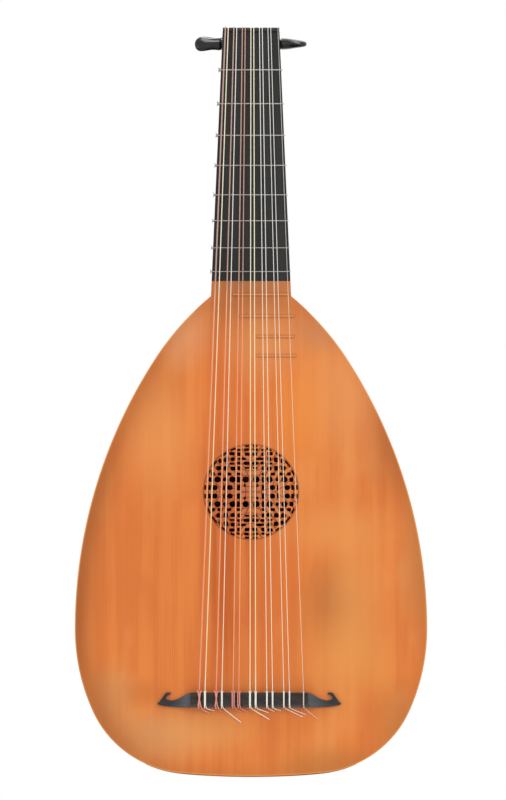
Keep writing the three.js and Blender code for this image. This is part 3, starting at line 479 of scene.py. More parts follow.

# %% [markdown]
# ## Varnished spruce
# The soundboard is spruce under old orange varnish. Its colour isn't even: broad streaks follow the grain,
# the strip under the strings is redder, there are darker and paler patches, some of them painted sheen and
# one painted shade over the rose, and the varnish is browner along the edge, with a painted highlight on its
# rim. The edge band needs the distance to the outline, which a curve node gives: it holds the outline's
# reach from one middle point for each direction.

# %% Distance to the soundboard's edge
eye_height = 190
eye_directions = 40


def reach_at(turn):
    """How far the outline lies from the middle point, in a direction from straight down to straight up."""
    def is_below(distance):
        place = place_along(distance)
        return math.pi - math.atan2(place.half, place.height - eye_height) < turn

    place = place_along(halving_search(0, outline_length, is_below))
    return math.hypot(place.half, place.height - eye_height)


def add_edge_distance(tree, board_place):
    """A socket with the distance to the outline, in metres, for a place on the soundboard."""
    across, _, height = split(tree, board_place)
    side = maths(tree, "ABSOLUTE", across)
    up = maths(tree, "SUBTRACT", height, eye_height * MM)
    share = maths(tree, "SUBTRACT", 1.0, maths(tree, "DIVIDE", maths(tree, "ARCTAN2", side, up), math.pi))
    away = maths(tree, "SQRT", maths(tree, "ADD", product(tree, side, side), product(tree, up, up)))
    reach = node(tree, "ShaderNodeFloatCurve", {"Value": share})
    largest = joint_height - eye_height + body_half_width
    curve = reach.mapping.curves[0]
    reach.mapping.use_clip = False
    for index, turn_share in enumerate(even_steps(1, eye_directions)):
        value = reach_at(math.pi * turn_share) / largest
        if index in (0, eye_directions):
            curve.points[0 if index == 0 else -1].location = (turn_share, value)
        else:
            curve.points.new(turn_share, value)
    reach.mapping.update()
    return maths(tree, "SUBTRACT", product(tree, reach.outputs[0], largest * MM), away)


# %% [markdown]
# The rose's ribbons are edged by fine carved lines: two families of arcs, round the rose's side and round
# its top, that repeat in all four quarters. They are not cut into the board: their shade is painted as dark
# lines in the varnish, and so is the shade of a groove round the rose's rim.

# %% Painted shade of the lines that are carved into the rose
rose_radius = 43.2
rose_height = 258.6
carving_shade_pitch = 0.0048
carving_shade_edge = (0.0002, 0.00055)
rim_groove_shade_edge = (0.0003, 0.0011)


def add_carving_shade(tree, board_place):
    """A mask of painted shade, for the carved arcs and for a groove round the rose's rim."""
    radius = rose_radius * MM
    from_middle = vectors(tree, "SUBTRACT", board_place, (0.0, 0.0, rose_height * MM))
    flat = vectors(tree, "MULTIPLY", vectors(tree, "ABSOLUTE", from_middle), (1.0, 0.0, 1.0))
    lines = 0.0
    for centre in ((radius, 0.0, 0.0), (0.0, 0.0, radius)):
        length = vectors(tree, "LENGTH", vectors(tree, "SUBTRACT", flat, centre))
        from_arc = maths(tree, "PINGPONG", length, carving_shade_pitch / 2)
        lines = maths(tree, "MAXIMUM", lines, remap(tree, from_arc, *carving_shade_edge, 0.8, 0.0))
    away = vectors(tree, "LENGTH", flat)
    lines = product(tree, lines, remap(tree, away, 0.97 * radius, radius, 1.0, 0.0))
    from_rim = maths(tree, "ABSOLUTE", maths(tree, "SUBTRACT", away, radius))
    return maths(tree, "MAXIMUM", lines, remap(tree, from_rim, *rim_groove_shade_edge, 0.55, 0.0))


# %% Marks on the varnish: patches, painted sheen and painted shade
# A patch is how far across and up it lies, how far it reaches across and up, its colour and its strength.
patch_core = 0.1
fret_shade_reach = 0.0021
body_fret_numbers = (9, 10, 11, 12)
body_fret_places = []
for number in body_fret_numbers:
    low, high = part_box(f"body_fret_{number:02d}")
    centre = (low + high) / 2 - at(0, 0, 0)
    body_fret_places.append(((centre.x, 0.0, centre.z), (high.x - low.x) / 2 + MM))
# The rows in #EFA25A, #F19D58, #EFA060, #F0A056, #F1A257, #EFA353 and #F8983F are painted sheen; the last row
# darkens the rose as painted shade of its carving.
patches_sheen_and_shade = [
    (75, 158, 40, 60, "#BA7638", 0.55),
    (-92, 356, 45, 70, "#BF6E34", 0.5),
    (-100, 75, 35, 20, "#C4682A", 0.4),
    (-85, 36, 60, 36, "#D8965C", 0.75),
    (-128, 70, 28, 45, "#D19258", 0.6),
    (-40, 40, 60, 30, "#EFA25A", 0.6),
    (155, 200, 30, 110, "#CB8548", 0.6),
    (-85, 310, 50, 80, "#F19D58", 0.6),
    (85, 350, 60, 90, "#EFA060", 0.55),
    (98, 165, 35, 90, "#F0A056", 0.55),
    (80, 225, 70, 35, "#F1A257", 0.45),
    (88, 105, 60, 55, "#EFA353", 0.5),
    (135, 50, 40, 50, "#BC6F2F", 0.55),
    (70, 8, 70, 28, "#BE7430", 0.6),
    (135, 310, 45, 90, "#B4642F", 0.75),
    (-62, 405, 40, 50, "#DE9A6C", 0.6),
    (60, 405, 35, 30, "#C98558", 0.6),
    (45, 330, 40, 80, "#F8983F", 0.5),
    (0, 452, 80, 75, "#B97645", 0.9),
    (10, 395, 50, 45, "#E79C5E", 0.7),
    (0, 258.6, 49, 49, "#D28054", 0.85),
]
strip_centre = (-0.014, 0.0, 0.195)
strip_radii = (0.037, 1.0, 0.14)


# %% The colours along the soundboard's edge
# Each pair says where a change begins and ends: below the neck, in from the edge, across or up.
neck_fade = (12, 3)
edge_band = (0.001, 0.016)
wide_edge_band = (0.004, 0.034)
pale_rim = (0.0006, 0.0014)
from_left = (-0.1, 0.1)
far_left = (-0.14, -0.06)
from_tail = (0.04, 0.14)
to_shoulder = (0.25, 0.34)
all_the_way_up = (0.05, 0.3)


def add_edge_colours(tree, shade, place, across, up, broad):
    """The varnish's browner band along the outline, wider on the left, and outside it a paler rim: a painted
    highlight where the pared edge catches the light.
    """
    edge = add_edge_distance(tree, place)
    below_neck = remap(tree, up, *[(joint_height - drop) * MM for drop in neck_fade], 1.0, 0.0)
    band = remap(tree, edge, *edge_band, 1.0, 0.0)
    patchy = remap(tree, broad, 0.3, 0.7, 0.6, 1.0)
    near_tail = remap(tree, up, *from_tail, 0.45, 1.0)
    left_share = remap(tree, across, *from_left, 0.85, 0.35)
    lower_share = remap(tree, up, *to_shoulder, 1.0, 0.35)
    brown = product(tree, band, patchy, near_tail, left_share, lower_share, below_neck)
    shade = mix(tree, brown, shade, colour("#A85B24"))
    wide_band = remap(tree, edge, *wide_edge_band, 1.0, 0.0)
    left_brown = product(tree, wide_band, remap(tree, across, *far_left, 0.52, 0.0))
    shade = mix(tree, left_brown, shade, colour("#A85B24"))
    # Painted highlight: a paler rim where the pared edge catches the light.
    rim = product(tree, remap(tree, edge, *pale_rim, 1.0, 0.0), below_neck,
                  remap(tree, up, *all_the_way_up, 0.6, 0.8))
    return mix(tree, rim, shade, colour("#ECA65C"))


# %% The soundboard's varnish
def make_varnished_spruce():
    material, tree, shader = new_material("Varnished spruce", 0.45, 0.12, 0.3, 0.25)
    place = vectors(tree, "SUBTRACT", object_place(tree), at(0, 0, 0))
    across, _, up = split(tree, place)
    wood = place_grain(tree, place, "#EC8A40", "#E07834", 0.03, 85.0, 200.0, 1.1)
    broad = noise(tree, place, 8.0)
    shade = mix(tree, remap(tree, broad, 0.35, 0.7, 0.0, 0.3), wood["Color"], colour("#D67334"))
    cloud = noise(tree, vectors(tree, "MULTIPLY", place, (1.0, 1.0, 0.4)), 24.0, 3.0)
    shade = mix(tree, remap(tree, cloud, 0.52, 0.72, 0.0, 0.45), shade, colour("#EF9C56"))
    shade = mix(tree, remap(tree, cloud, 0.48, 0.28, 0.0, 0.45), shade, colour("#D46E31"))
    # Patches of colour, painted sheen and the painted shade over the rose.
    for x, z, reach_x, reach_z, tone, weight in patches_sheen_and_shade:
        reaches = (reach_x * MM, 1.0, reach_z * MM)
        patch_mask = place_spot(tree, place, (x * MM, 0.0, z * MM), reaches, patch_core)
        shade = mix(tree, product(tree, patch_mask, weight), shade, colour(tone))
    streak = noise(tree, vectors(tree, "MULTIPLY", place, (1.0, 1.0, 0.025)), 110.0, 3.0)
    strip = place_spot(tree, place, strip_centre, strip_radii, 0.35)
    red = product(tree, strip, remap(tree, streak, 0.38, 0.62, 0.1, 0.75))
    shade = mix(tree, red, shade, colour("#C45A19"))
    # Painted shade round each body fret: a soft dark bar a little longer than the fret.
    for centre, half_length in body_fret_places:
        bar = {"Vector": place, "Centre": centre, "Half Length": half_length, "Half Width": fret_shade_reach}
        mask = product(tree, place_group(tree, bar_mark, bar)["Mask"], 0.28)
        shade = mix(tree, mask, shade, colour("#8F4C22"))
    # Painted shade of the rose's carving and of the groove round its rim.
    shade = mix(tree, add_carving_shade(tree, place), shade, colour("#5C2410"))
    shade = add_edge_colours(tree, shade, place, across, up, broad)
    rough = remap(tree, broad, 0.3, 0.7, 0.38, 0.52)
    link_shader(tree, shader, shade, rough, wood["Height"], 0.1)
    return material


varnished_spruce = make_varnished_spruce()


# %% [markdown]
# ## The other finishes
# The bowl is a curly hardwood in brown varnish, with its grain along each rib, read from the rib's own UV
# map, so that it bends with the rib. The fittings are ebony, the neck and pegbox a dark stained wood, and
# the strings and frets gut: clear and pale for the thin ones, twisted and stained for the thick ones.

# %% Bowl wood
def make_bowl_wood(name, light, dark, curl_tone):
    material, tree, shader = new_material(name, 0.32, coat=0.35, coat_roughness=0.15, specular=0.35)
    along, round_bowl, _ = split(tree, node(tree, "ShaderNodeUVMap").outputs[0])
    turned = joined(tree, round_bowl, 0.0, along)
    wood = place_grain(tree, turned, light, dark, 0.08, 60.0, 180.0, 0.5)
    curl = noise(tree, vectors(tree, "MULTIPLY", turned, (0.22, 1.0, 1.0)), 170.0, Distortion=0.5)
    shade = mix(tree, remap(tree, curl, 0.4, 0.62, 0.0, 0.35), wood["Color"], colour(curl_tone))
    rib_number = maths(tree, "FLOOR", maths(tree, "ADD", round_bowl, 0.5))
    tone = node(tree, "ShaderNodeTexWhiteNoise", {"W": rib_number}, noise_dimensions="1D").outputs["Value"]
    shade = mix(tree, product(tree, tone, 0.35), shade, colour("#6A3717"))
    link_shader(tree, shader, shade, remap(tree, curl, 0.3, 0.7, 0.26, 0.4), wood["Height"], 0.08)
    return material


bowl_wood = make_bowl_wood("Bowl wood", "#A5612D", "#87491F", "#BE7A3C")
clasp_wood = make_bowl_wood("Clasp wood", "#C9803F", "#A5602B", "#D8924C")


# %% Dark, plain and ebony wood
def make_plain_wood(name, light, dark, roughness, coat, streaks, lines, bump, specular=0.5):
    material, tree, shader = new_material(name, roughness, coat=coat, coat_roughness=0.15, specular=specular)
    place = object_place(tree)
    wood = place_grain(tree, place, light, dark, 0.07, streaks, lines, 0.5)
    rough = remap(tree, noise(tree, place, 55.0, 3.0), 0.3, 0.7, roughness - 0.08, roughness + 0.12)
    link_shader(tree, shader, wood["Color"], rough, wood["Height"], bump)
    return material


dark_wood = make_plain_wood("Dark stained wood", "#3A2A22", "#1E1613", 0.36, 0.3, 90.0, 320.0, 0.15)
ebony = make_plain_wood("Ebony", "#232221", "#121110", 0.4, 0.0, 120.0, 420.0, 0.12, 0.35)
fret_wood = make_plain_wood("Body fret wood", "#E4965B", "#D8884C", 0.5, 0.1, 90.0, 320.0, 0.1, 0.25)
bare_wood = make_plain_wood("Bare wood", "#D9B083", "#B98A5A", 0.7, 0.0, 70.0, 240.0, 0.2)
peg_ebony = make_plain_wood("Polished ebony", "#100F0F", "#050505", 0.18, 0.3, 120.0, 420.0, 0.003, 0.3)


# %% The bridge's ebony, darker on the top of its block; the greyer arms and ledge are painted reflection, lightest near the block as a painted highlight
bridge_block_height = 9
bridge_block_half_length = 53
bridge_block_shift = -1.6
bridge_sheen_reach = 22
bridge_top_fade = (0.2, 1.2)


def make_bridge_ebony():
    material, tree, shader = new_material("Ebony with painted sheen", 0.4, specular=0.35)
    across, depth, height = split(tree, object_place(tree))
    along = joined(tree, height, depth, across)
    wood = place_grain(tree, along, "#3B3B3E", "#1C1C1E", 0.1, 150.0, 400.0, 0.5)
    block = place_grain(tree, along, "#332C28", "#1D1917", 0.4, 260.0, 400.0, 0.3)
    block_top = front - bridge_block_height * MM
    top = remap(tree, depth, *[block_top + reach * MM for reach in bridge_top_fade], 1.0, 0.0)
    out = maths(tree, "ABSOLUTE", maths(tree, "SUBTRACT", across, bridge_block_shift * MM))
    sheen_end = (bridge_block_half_length + bridge_sheen_reach) * MM
    sheen = remap(tree, out, bridge_block_half_length * MM, sheen_end, 0.55, 0.0)
    # Painted reflection: the arms and ledge greyer than the block's top, and a painted highlight near the
    # block.
    shade = mix(tree, top, mix(tree, sheen, wood["Color"], colour("#66686E")), block["Color"])
    link_shader(tree, shader, shade, remap(tree, top, 0.0, 1.0, 0.34, 0.6), wood["Height"], 0.12)
    return material


bridge_ebony = make_bridge_ebony()


# %% Gut and strings
twist_pitch = 0.0022
twist_bump_distance = 0.0001
gut_tie_height = 78
gut_blend_reach = 1.3


def make_gut(name, light, dark, off_board_tone, at_bridge, twist_depth):
    """A material for a cord, by its UV map. Its own colours are warmer, as painted reflection of the orange
    soundboard, and it turns to plainer colours on the neck and at the bridge.
    """
    material, tree, shader = new_material(name, 0.35, coat=0.3)
    given = node(tree, "ShaderNodeUVMap").outputs[0]
    along, round_cord, _ = split(tree, given)
    turns = maths(tree, "ADD", product(tree, along, 1 / twist_pitch), round_cord)
    ridge = remap(tree, maths(tree, "SINE", product(tree, turns, 4 * math.pi)), -1.0, 1.0)
    amount = maths(tree, "ADD", product(tree, ridge, 0.6), product(tree, noise(tree, given, 60.0), 0.4))
    shade = mix(tree, amount, colour(dark), colour(light))
    height = split(tree, object_place(tree))[2]
    # Painted reflection: the warm tint from the orange board fades out on the neck and at the bridge.
    on_neck = remap(tree, height, tail + joint_height * MM, tail + tongue_height * MM, 0.0, 0.95)
    shade = mix(tree, on_neck, shade, colour(off_board_tone))
    tie_top = tail + gut_tie_height * MM
    tied = remap(tree, height, tie_top, tail + gut_blend_reach * gut_tie_height * MM, 0.85, 0.0)
    shade = mix(tree, tied, shade, colour(at_bridge))
    shader.inputs["Subsurface Weight"].default_value = 0.15
    shader.inputs["Subsurface Radius"].default_value = (0.001, 0.0007, 0.0005)
    link_shader(tree, shader, shade, None, ridge, twist_depth, twist_bump_distance)
    return material


fret_gut = make_gut("Fret gut", "#D9D3C9", "#AAA194", "#C2BCB4", "#C2BCB4", 0.3)
stained_gut = make_gut("Stained gut", "#FFB78C", "#E59468", "#BF9A8E", "#EE9A8A", 0.6)
cream_gut = make_gut("Cream gut", "#FFF3CF", "#FFEAB8", "#FFFBDC", "#FFFFF2", 0.1)
clear_gut = make_gut("Clear gut", "#FFF2DC", "#FFEACB", "#F4F4F0", "#FFFFF6", 0.1)
thin_gut = make_gut("Thin gut", "#FFEBD2", "#F0D9BC", "#D2D0CC", "#E8E0D4", 0.1)
print("Materials:", len(bpy.data.materials))


# %% [markdown]
# ## Helpers for modelling
# An operator acts on all that is selected, so each helper picks its piece first. A finished piece's place
# is in its mesh, it rides on a body of the frame, and the frame's solids that it stands for are hidden.

# %% Helpers for modelling
merge_distance = 0.01


def add_modifier(piece, kind, **settings):
    modifier = piece.modifiers.new(kind.capitalize(), kind)
    for name, value in settings.items():
        setattr(modifier, name, value)


def bevel(piece, width, degrees):
    """Rounds the edges that turn by more than some degrees."""
    add_modifier(piece, "BEVEL", width=width * MM, segments=2, limit_method="ANGLE",
                 angle_limit=math.radians(degrees))


def apply_modifiers(piece):
    pick(piece)
    for modifier in list(piece.modifiers):
        bpy.ops.object.modifier_apply(modifier=modifier.name)


def edit_all(piece):
    """Opens a piece in edit mode, with all of it selected."""
    pick(piece)
    bpy.ops.object.mode_set(mode="EDIT")
    bpy.ops.mesh.select_all(action="SELECT")


def merge(piece, face_out=True):
    """Merges the corners that lie on one another, and turns the faces of a closed piece outward."""
    edit_all(piece)
    bpy.ops.mesh.remove_doubles(threshold=merge_distance * MM)
    if face_out:
        bpy.ops.mesh.normals_make_consistent(inside=False)
    bpy.ops.object.mode_set(mode="OBJECT")


def smooth(piece, degrees):
    pick(piece)
    bpy.ops.object.shade_smooth_by_angle(angle=math.radians(degrees))


def carve(piece, cutter):
    """Cuts the cutter's shape out of the piece, and takes the cutter away."""
    add_modifier(piece, "BOOLEAN", object=cutter, operation="DIFFERENCE", solver="EXACT")
    apply_modifiers(piece)
    bpy.data.objects.remove(cutter)


def join(pieces, name):
    bpy.ops.object.select_all(action="DESELECT")
    for piece in pieces:
        piece.select_set(True)
    bpy.context.view_layer.objects.active = pieces[0]
    bpy.ops.object.join()
    return named(name)


def settle(piece, material, body, slot, *nodes):
    """The last step of every new piece."""
    apply_place(piece)
    piece.data.materials.clear()
    piece.data.materials.append(material)
    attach(piece, body)
    if nodes:
        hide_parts(*nodes)
    return piece


def shape_grid(name, columns, rows, place, uv, fullness=None):
    """A grid whose corners place() and uv() lay out, from how far across and along each lies, as shares."""
    bpy.ops.mesh.primitive_grid_add(x_subdivisions=columns, y_subdivisions=rows, size=1)
    piece = named(name)
    shares = [(vertex.co.x + 0.5, vertex.co.y + 0.5) for vertex in piece.data.vertices]
    for vertex, share in zip(piece.data.vertices, shares):
        vertex.co = place(*share)
    for loop in piece.data.loops:
        piece.data.uv_layers.active.data[loop.index].uv = uv(*shares[loop.vertex_index])
    if fullness:
        group = piece.vertex_groups.new(name="fullness")
        for index, share in enumerate(shares):
            group.add([index], fullness(*share), "REPLACE")
    return piece


def add_curve(name, loops, closed, **settings):
    """A mesh, made from a curve with straight stretches through the points of each loop."""
    data = bpy.data.curves.new(name, "CURVE")
    for setting, value in settings.items():
        setattr(data, setting, value)
    for loop in loops:
        spline = data.splines.new("POLY")
        spline.points.add(len(loop) - 1)
        spline.use_cyclic_u = closed
        for point, place in zip(spline.points, loop):
            point.co = (*place, 1)
    piece = bpy.data.objects.new(name, data)
    bpy.context.collection.objects.link(piece)
    pick(piece)
    bpy.ops.object.convert(target="MESH")
    return named(name)


def add_plate(name, loops, thickness, edge=0):
    """A flat plate from closed loops of points across and up, with its edges pared round."""
    flat_loops = [[(x * MM, y * MM, 0) for x, y in loop] for loop in loops]
    return add_curve(name, flat_loops, True, dimensions="2D", fill_mode="BOTH", bevel_resolution=1,
                     extrude=(thickness / 2 - edge) * MM, bevel_depth=edge * MM, offset=-edge * MM)


def stand_up(plate, thickness, depth):
    """Turns a plate to stand as the soundboard does, with its front at a depth from the board's front."""
    plate.rotation_euler = (math.pi / 2, 0, 0)
    plate.location = at(0, depth + thickness / 2, 0)
    apply_place(plate)
    merge(plate)


# %% [markdown]
# ## The soundboard
# The real board is two leaves of spruce, 1.6 mm thick, with its rose cut through it and bars glued under
# it. A flat curve suits it best: the outline and all the holes of the rose are loops of one curve, which
# fills itself between them, and its bevel pares every edge of the fretwork at once. The rose is drawn as
# one quarter and mirrored: each hole is a rounded box or an ellipse, placed by shares of the rose's radius.

# %% The rose's holes
# Each row is a hole's middle, across and up, its half width and height, as shares, and how square it is.
rose_hole_points = 20
rose_hole_shares = [
    [0.262, 0.09, 0.036, 0.058, 4], [0.447, 0.09, 0.062, 0.054, 2.4], [0.567, 0.09, 0.024, 0.055, 4],
    [0.762, 0.09, 0.06, 0.054, 2.4], [0.877, 0.09, 0.032, 0.054, 4],
    [0.132, 0.134, 0.022, 0.032, 4], [0.113, 0.259, 0.066, 0.066, 2.4], [0.262, 0.259, 0.038, 0.064, 4],
    [0.391, 0.259, 0.067, 0.062, 2.4], [0.557, 0.259, 0.036, 0.04, 4], [0.704, 0.259, 0.066, 0.062, 2.4],
    [0.853, 0.255, 0.043, 0.05, 4],
    [0.262, 0.374, 0.038, 0.032, 4], [0.46, 0.374, 0.048, 0.032, 4], [0.655, 0.374, 0.054, 0.034, 4],
    [0.8, 0.376, 0.042, 0.036, 4],
    [0.085, 0.505, 0.052, 0.022, 4], [0.255, 0.497, 0.034, 0.044, 4], [0.38, 0.49, 0.054, 0.042, 4],
    [0.53, 0.495, 0.046, 0.05, 4], [0.68, 0.5, 0.052, 0.048, 4],
    [0.09, 0.602, 0.072, 0.034, 4], [0.25, 0.602, 0.054, 0.03, 4], [0.405, 0.592, 0.05, 0.022, 4],
    [0.19, 0.695, 0.085, 0.028, 4], [0.385, 0.69, 0.044, 0.04, 4], [0.525, 0.675, 0.046, 0.05, 4],
    [0.653, 0.648, 0.034, 0.046, 4],
    [0.08, 0.795, 0.055, 0.036, 4], [0.255, 0.793, 0.042, 0.04, 4], [0.4, 0.805, 0.06, 0.036, 4],
    [0.095, 0.888, 0.052, 0.03, 4], [0.255, 0.882, 0.042, 0.026, 4],
]
rose_slit_turns = [5.5, 24.5, 37.5, 54, 67, 85]
rose_slit_half_length_shares = [0.05, 0.06, 0.085, 0.07, 0.06, 0.05]
rose_slit_radius_share = 0.97
rose_slit_half_width_share = 0.02
rose_slit_squareness = 4


def rose_hole(middle, half_width, half_height, squareness, turn=0):
    """A hole between an ellipse and a box: the higher the squareness, the squarer."""
    points = []
    for step in range(rose_hole_points):
        angle = 2 * math.pi * (step + 0.5) / rose_hole_points
        x = half_width * math.copysign(abs(math.cos(angle)) ** (2 / squareness), math.cos(angle))
        y = half_height * math.copysign(abs(math.sin(angle)) ** (2 / squareness), math.sin(angle))
        turned_x = x * math.cos(turn) - y * math.sin(turn)
        turned_y = x * math.sin(turn) + y * math.cos(turn)
        points.append((middle[0] + turned_x, middle[1] + turned_y))
    return points


def rose_holes():
    holes = []
    for across, up in [(1, 1), (-1, 1), (-1, -1), (1, -1)]:
        for x, y, half_width, half_height, squareness in rose_hole_shares:
            middle = (across * x * rose_radius, rose_height + up * y * rose_radius)
            holes.append(rose_hole(middle, half_width * rose_radius, half_height * rose_radius, squareness))
        for degrees, half_length_share in zip(rose_slit_turns, rose_slit_half_length_shares):
            turn = math.radians(degrees)
            middle = (across * rose_slit_radius_share * rose_radius * math.cos(turn),
                      rose_height + up * rose_slit_radius_share * rose_radius * math.sin(turn))
            half_width = rose_slit_half_width_share * rose_radius
            lean = across * up * (turn + math.pi / 2)
            half_length = half_length_share * rose_radius
            holes.append(rose_hole(middle, half_length, half_width, rose_slit_squareness, lean))
    return holes


# %% The board
outline_spacing = 3
pared_edge = 0.3


def make_soundboard():
    loops = [outline_points(outline_spacing)] + rose_holes()
    board = add_plate("soundboard_fine", loops, board_thickness, pared_edge)
    stand_up(board, board_thickness, 0)
    smooth(board, 18)
    return settle(board, varnished_spruce, "root", "spruce_varnish", "soundboard")


soundboard = make_soundboard()
print("Soundboard:", len(soundboard.data.polygons), "faces,", len(rose_holes()), "holes in the rose")

# %% The bars under the board
bar_height_shares = [0.1, 0.29, 0.385, 0.475, 0.71, 0.83]
bar_width = 5
bar_depth = 14
bar_edge = 0.8
bar_end_slope = 15
bar_search_steps = 400
rib_thickness = 1.5
bar_end_gap = 2.5


def make_bar(number, height):
    places = [place_along(distance) for distance in even_steps(outline_length, bar_search_steps)]
    inside = min(place.half for place in places if abs(place.height - height) < 2 * bar_width)
    half = inside - 2 * rib_thickness - bar_end_gap
    bpy.ops.mesh.primitive_cube_add(size=1, location=at(0, board_thickness + bar_depth / 2, height))
    bar = named(f"soundboard_bar_{number}")
    bar.scale = (2 * half * MM, bar_depth * MM, bar_width * MM)
    apply_place(bar)
    for vertex in bar.data.vertices:
        if vertex.co.y > front + (board_thickness + bar_depth / 2) * MM:
            vertex.co.x *= 1 - bar_end_slope / half
    bevel(bar, bar_edge, 30)
    apply_modifiers(bar)
    return settle(bar, bare_wood, "root", "plain_wood")


for number, share in enumerate(bar_height_shares, start=1):
    make_bar(number, share * joint_height)

# %% [markdown]
# ## The bowl
# Eleven ribs, each 1.5 mm thick, are bent over a mould and glued edge to edge. Each starts as a grid that
# is laid on the bowl: its rows follow the body's outline and its columns cross the rib, almost flat, as
# bent wood is. Solidify gives it its thickness and a bevel the small ridge at each glue line.

# %% Ribs
rib_count = 11
rib_angle = math.pi / rib_count
rib_gap = 0.2
rib_edge = 0.2
rib_tail_half_width = 8
rib_crown_share = 0.35
bowl_depth_share = 0.93
rib_columns = 5
rib_rows = 90


def bowl_point(place, angle, offset=0.0):
    half = place.half + offset * place.across
    back = board_thickness + bowl_depth_share * half * math.sin(angle)
    return at(-half * math.cos(angle), back, place.height + offset * place.up)


def make_rib(number):
    start_distance = distance_to_half_width(rib_tail_half_width)
    first_glue = 0 if number == 1 else 1
    last_glue = 0 if number == rib_count else 1

    def place(across, along):
        here = place_along(between(start_distance, outline_length, along))
        glue = rib_gap / 2 / here.half
        start = (number - 1) * rib_angle + first_glue * glue
        end = number * rib_angle - last_glue * glue
        flat = bowl_point(here, start).lerp(bowl_point(here, end), across)
        return flat.lerp(bowl_point(here, between(start, end, across)), rib_crown_share)

    def uv(across, along):
        here = place_along(between(start_distance, outline_length, along))
        return (outline_length * along * MM, number + (across - 0.5) * rib_angle * here.half * MM)

    rib = shape_grid(f"rib_{number:02d}_fine", rib_columns, rib_rows, place, uv)
    face_bowl_out(rib)
    add_modifier(rib, "SOLIDIFY", thickness=rib_thickness * MM, offset=-1)
    bevel(rib, rib_edge, 50)
    apply_modifiers(rib)
    smooth(rib, 40)
    return settle(rib, bowl_wood, "root", "bowl_wood", f"rib_{number:02d}")


def face_bowl_out(piece):
    """Turns an open sheet of the bowl so that its faces point away from the middle of the body."""
    inside = at(0, board_thickness, widest_height)
    middle = piece.data.polygons[len(piece.data.polygons) // 2]
    if middle.normal.dot(middle.center - inside) < 0:
        edit_all(piece)
        bpy.ops.mesh.flip_normals()
        bpy.ops.object.mode_set(mode="OBJECT")


for number in range(1, rib_count + 1):
    make_rib(number)
print("Ribs:", rib_count)

# %% End clasp
clasp_thickness = 1.0
clasp_gap = 0.1
clasp_edge = 0.3
clasp_thin_share = 0.3
clasp_full_share = 0.6
clasp_back_reach = 34
clasp_side_reach = 96
clasp_columns = 44
clasp_rows = 16


def make_end_clasp():
    def reach(angle):
        return between(clasp_back_reach, clasp_side_reach, math.cos(angle) ** 2)

    def fullness(across, along):
        beyond = max(0, (along - clasp_full_share) / (1 - clasp_full_share))
        return between(1, clasp_thin_share, beyond * math.cos(math.pi * across) ** 2)

    def place(across, along):
        angle = math.pi * across
        here = place_along(distance_to_half_width(reach(angle)) * along)
        return bowl_point(here, angle, clasp_gap + clasp_thickness * fullness(across, along))

    def uv(across, along):
        return (across * math.pi * clasp_back_reach * MM, -1 + along * clasp_side_reach * MM)

    clasp = shape_grid("end_clasp_fine", clasp_columns, clasp_rows, place, uv, fullness)
    merge(clasp, face_out=False)
    face_bowl_out(clasp)
    add_modifier(clasp, "SOLIDIFY", thickness=clasp_thickness * MM, offset=-1, vertex_group="fullness")
    bevel(clasp, clasp_edge, 50)
    apply_modifiers(clasp)
    smooth(clasp, 40)
    return settle(clasp, clasp_wood, "root", "bowl_wood", "end_clasp")


make_end_clasp()

# %% [markdown]
# ## The neck
# The neck is half of a long, slightly tapered cone, a little flatter than round. It starts as a circle that
# is drawn out to an ellipse, cut in half by bisect, and extruded up to the nut while its end is drawn in.
# Boxes then cut the seats of the pegbox and of the nut.

# %% The pegbox's own frame
pegbox_tilt = math.radians(6)
pegbox_length = 195
pegbox_front = 7
pegbox_near_half_width = 25.4
pegbox_far_half_width = 18
pegbox_near_depth = 21
pegbox_cheek_drop = 7.37
pegbox_seat_depth = 1.2
fit_gap = 0.3
pegbox_height = nut_top_height - pegbox_cheek_drop - pegbox_near_depth * math.cos(pegbox_tilt)
pegbox_place = Matrix.Translation(at(0, pegbox_front, pegbox_height)) @ Matrix.Rotation(pegbox_tilt, 4, "X")


def pegbox_half_width_at(reach):
    return between(pegbox_near_half_width, pegbox_far_half_width, reach / pegbox_length)


# %% Neck
nut_seat_depth = 1.4
neck_head_bevel = 3.5
neck_head_drop = 0.8
neck_edge = 0.4
overrun = 3


def add_block(low, high, place=None):
    """A box between two corners in metres, for cutting with."""
    bpy.ops.mesh.primitive_cube_add(size=1, location=(low + high) / 2)
    block = named("cutter")
    block.scale = high - low
    apply_place(block)
    if place:
        block.matrix_world = place
        apply_place(block)
    return block


def neck_depth_at(height):
    return between(bowl_depth_share * neck_foot_half_width, neck_head_depth, neck_share_at(height))


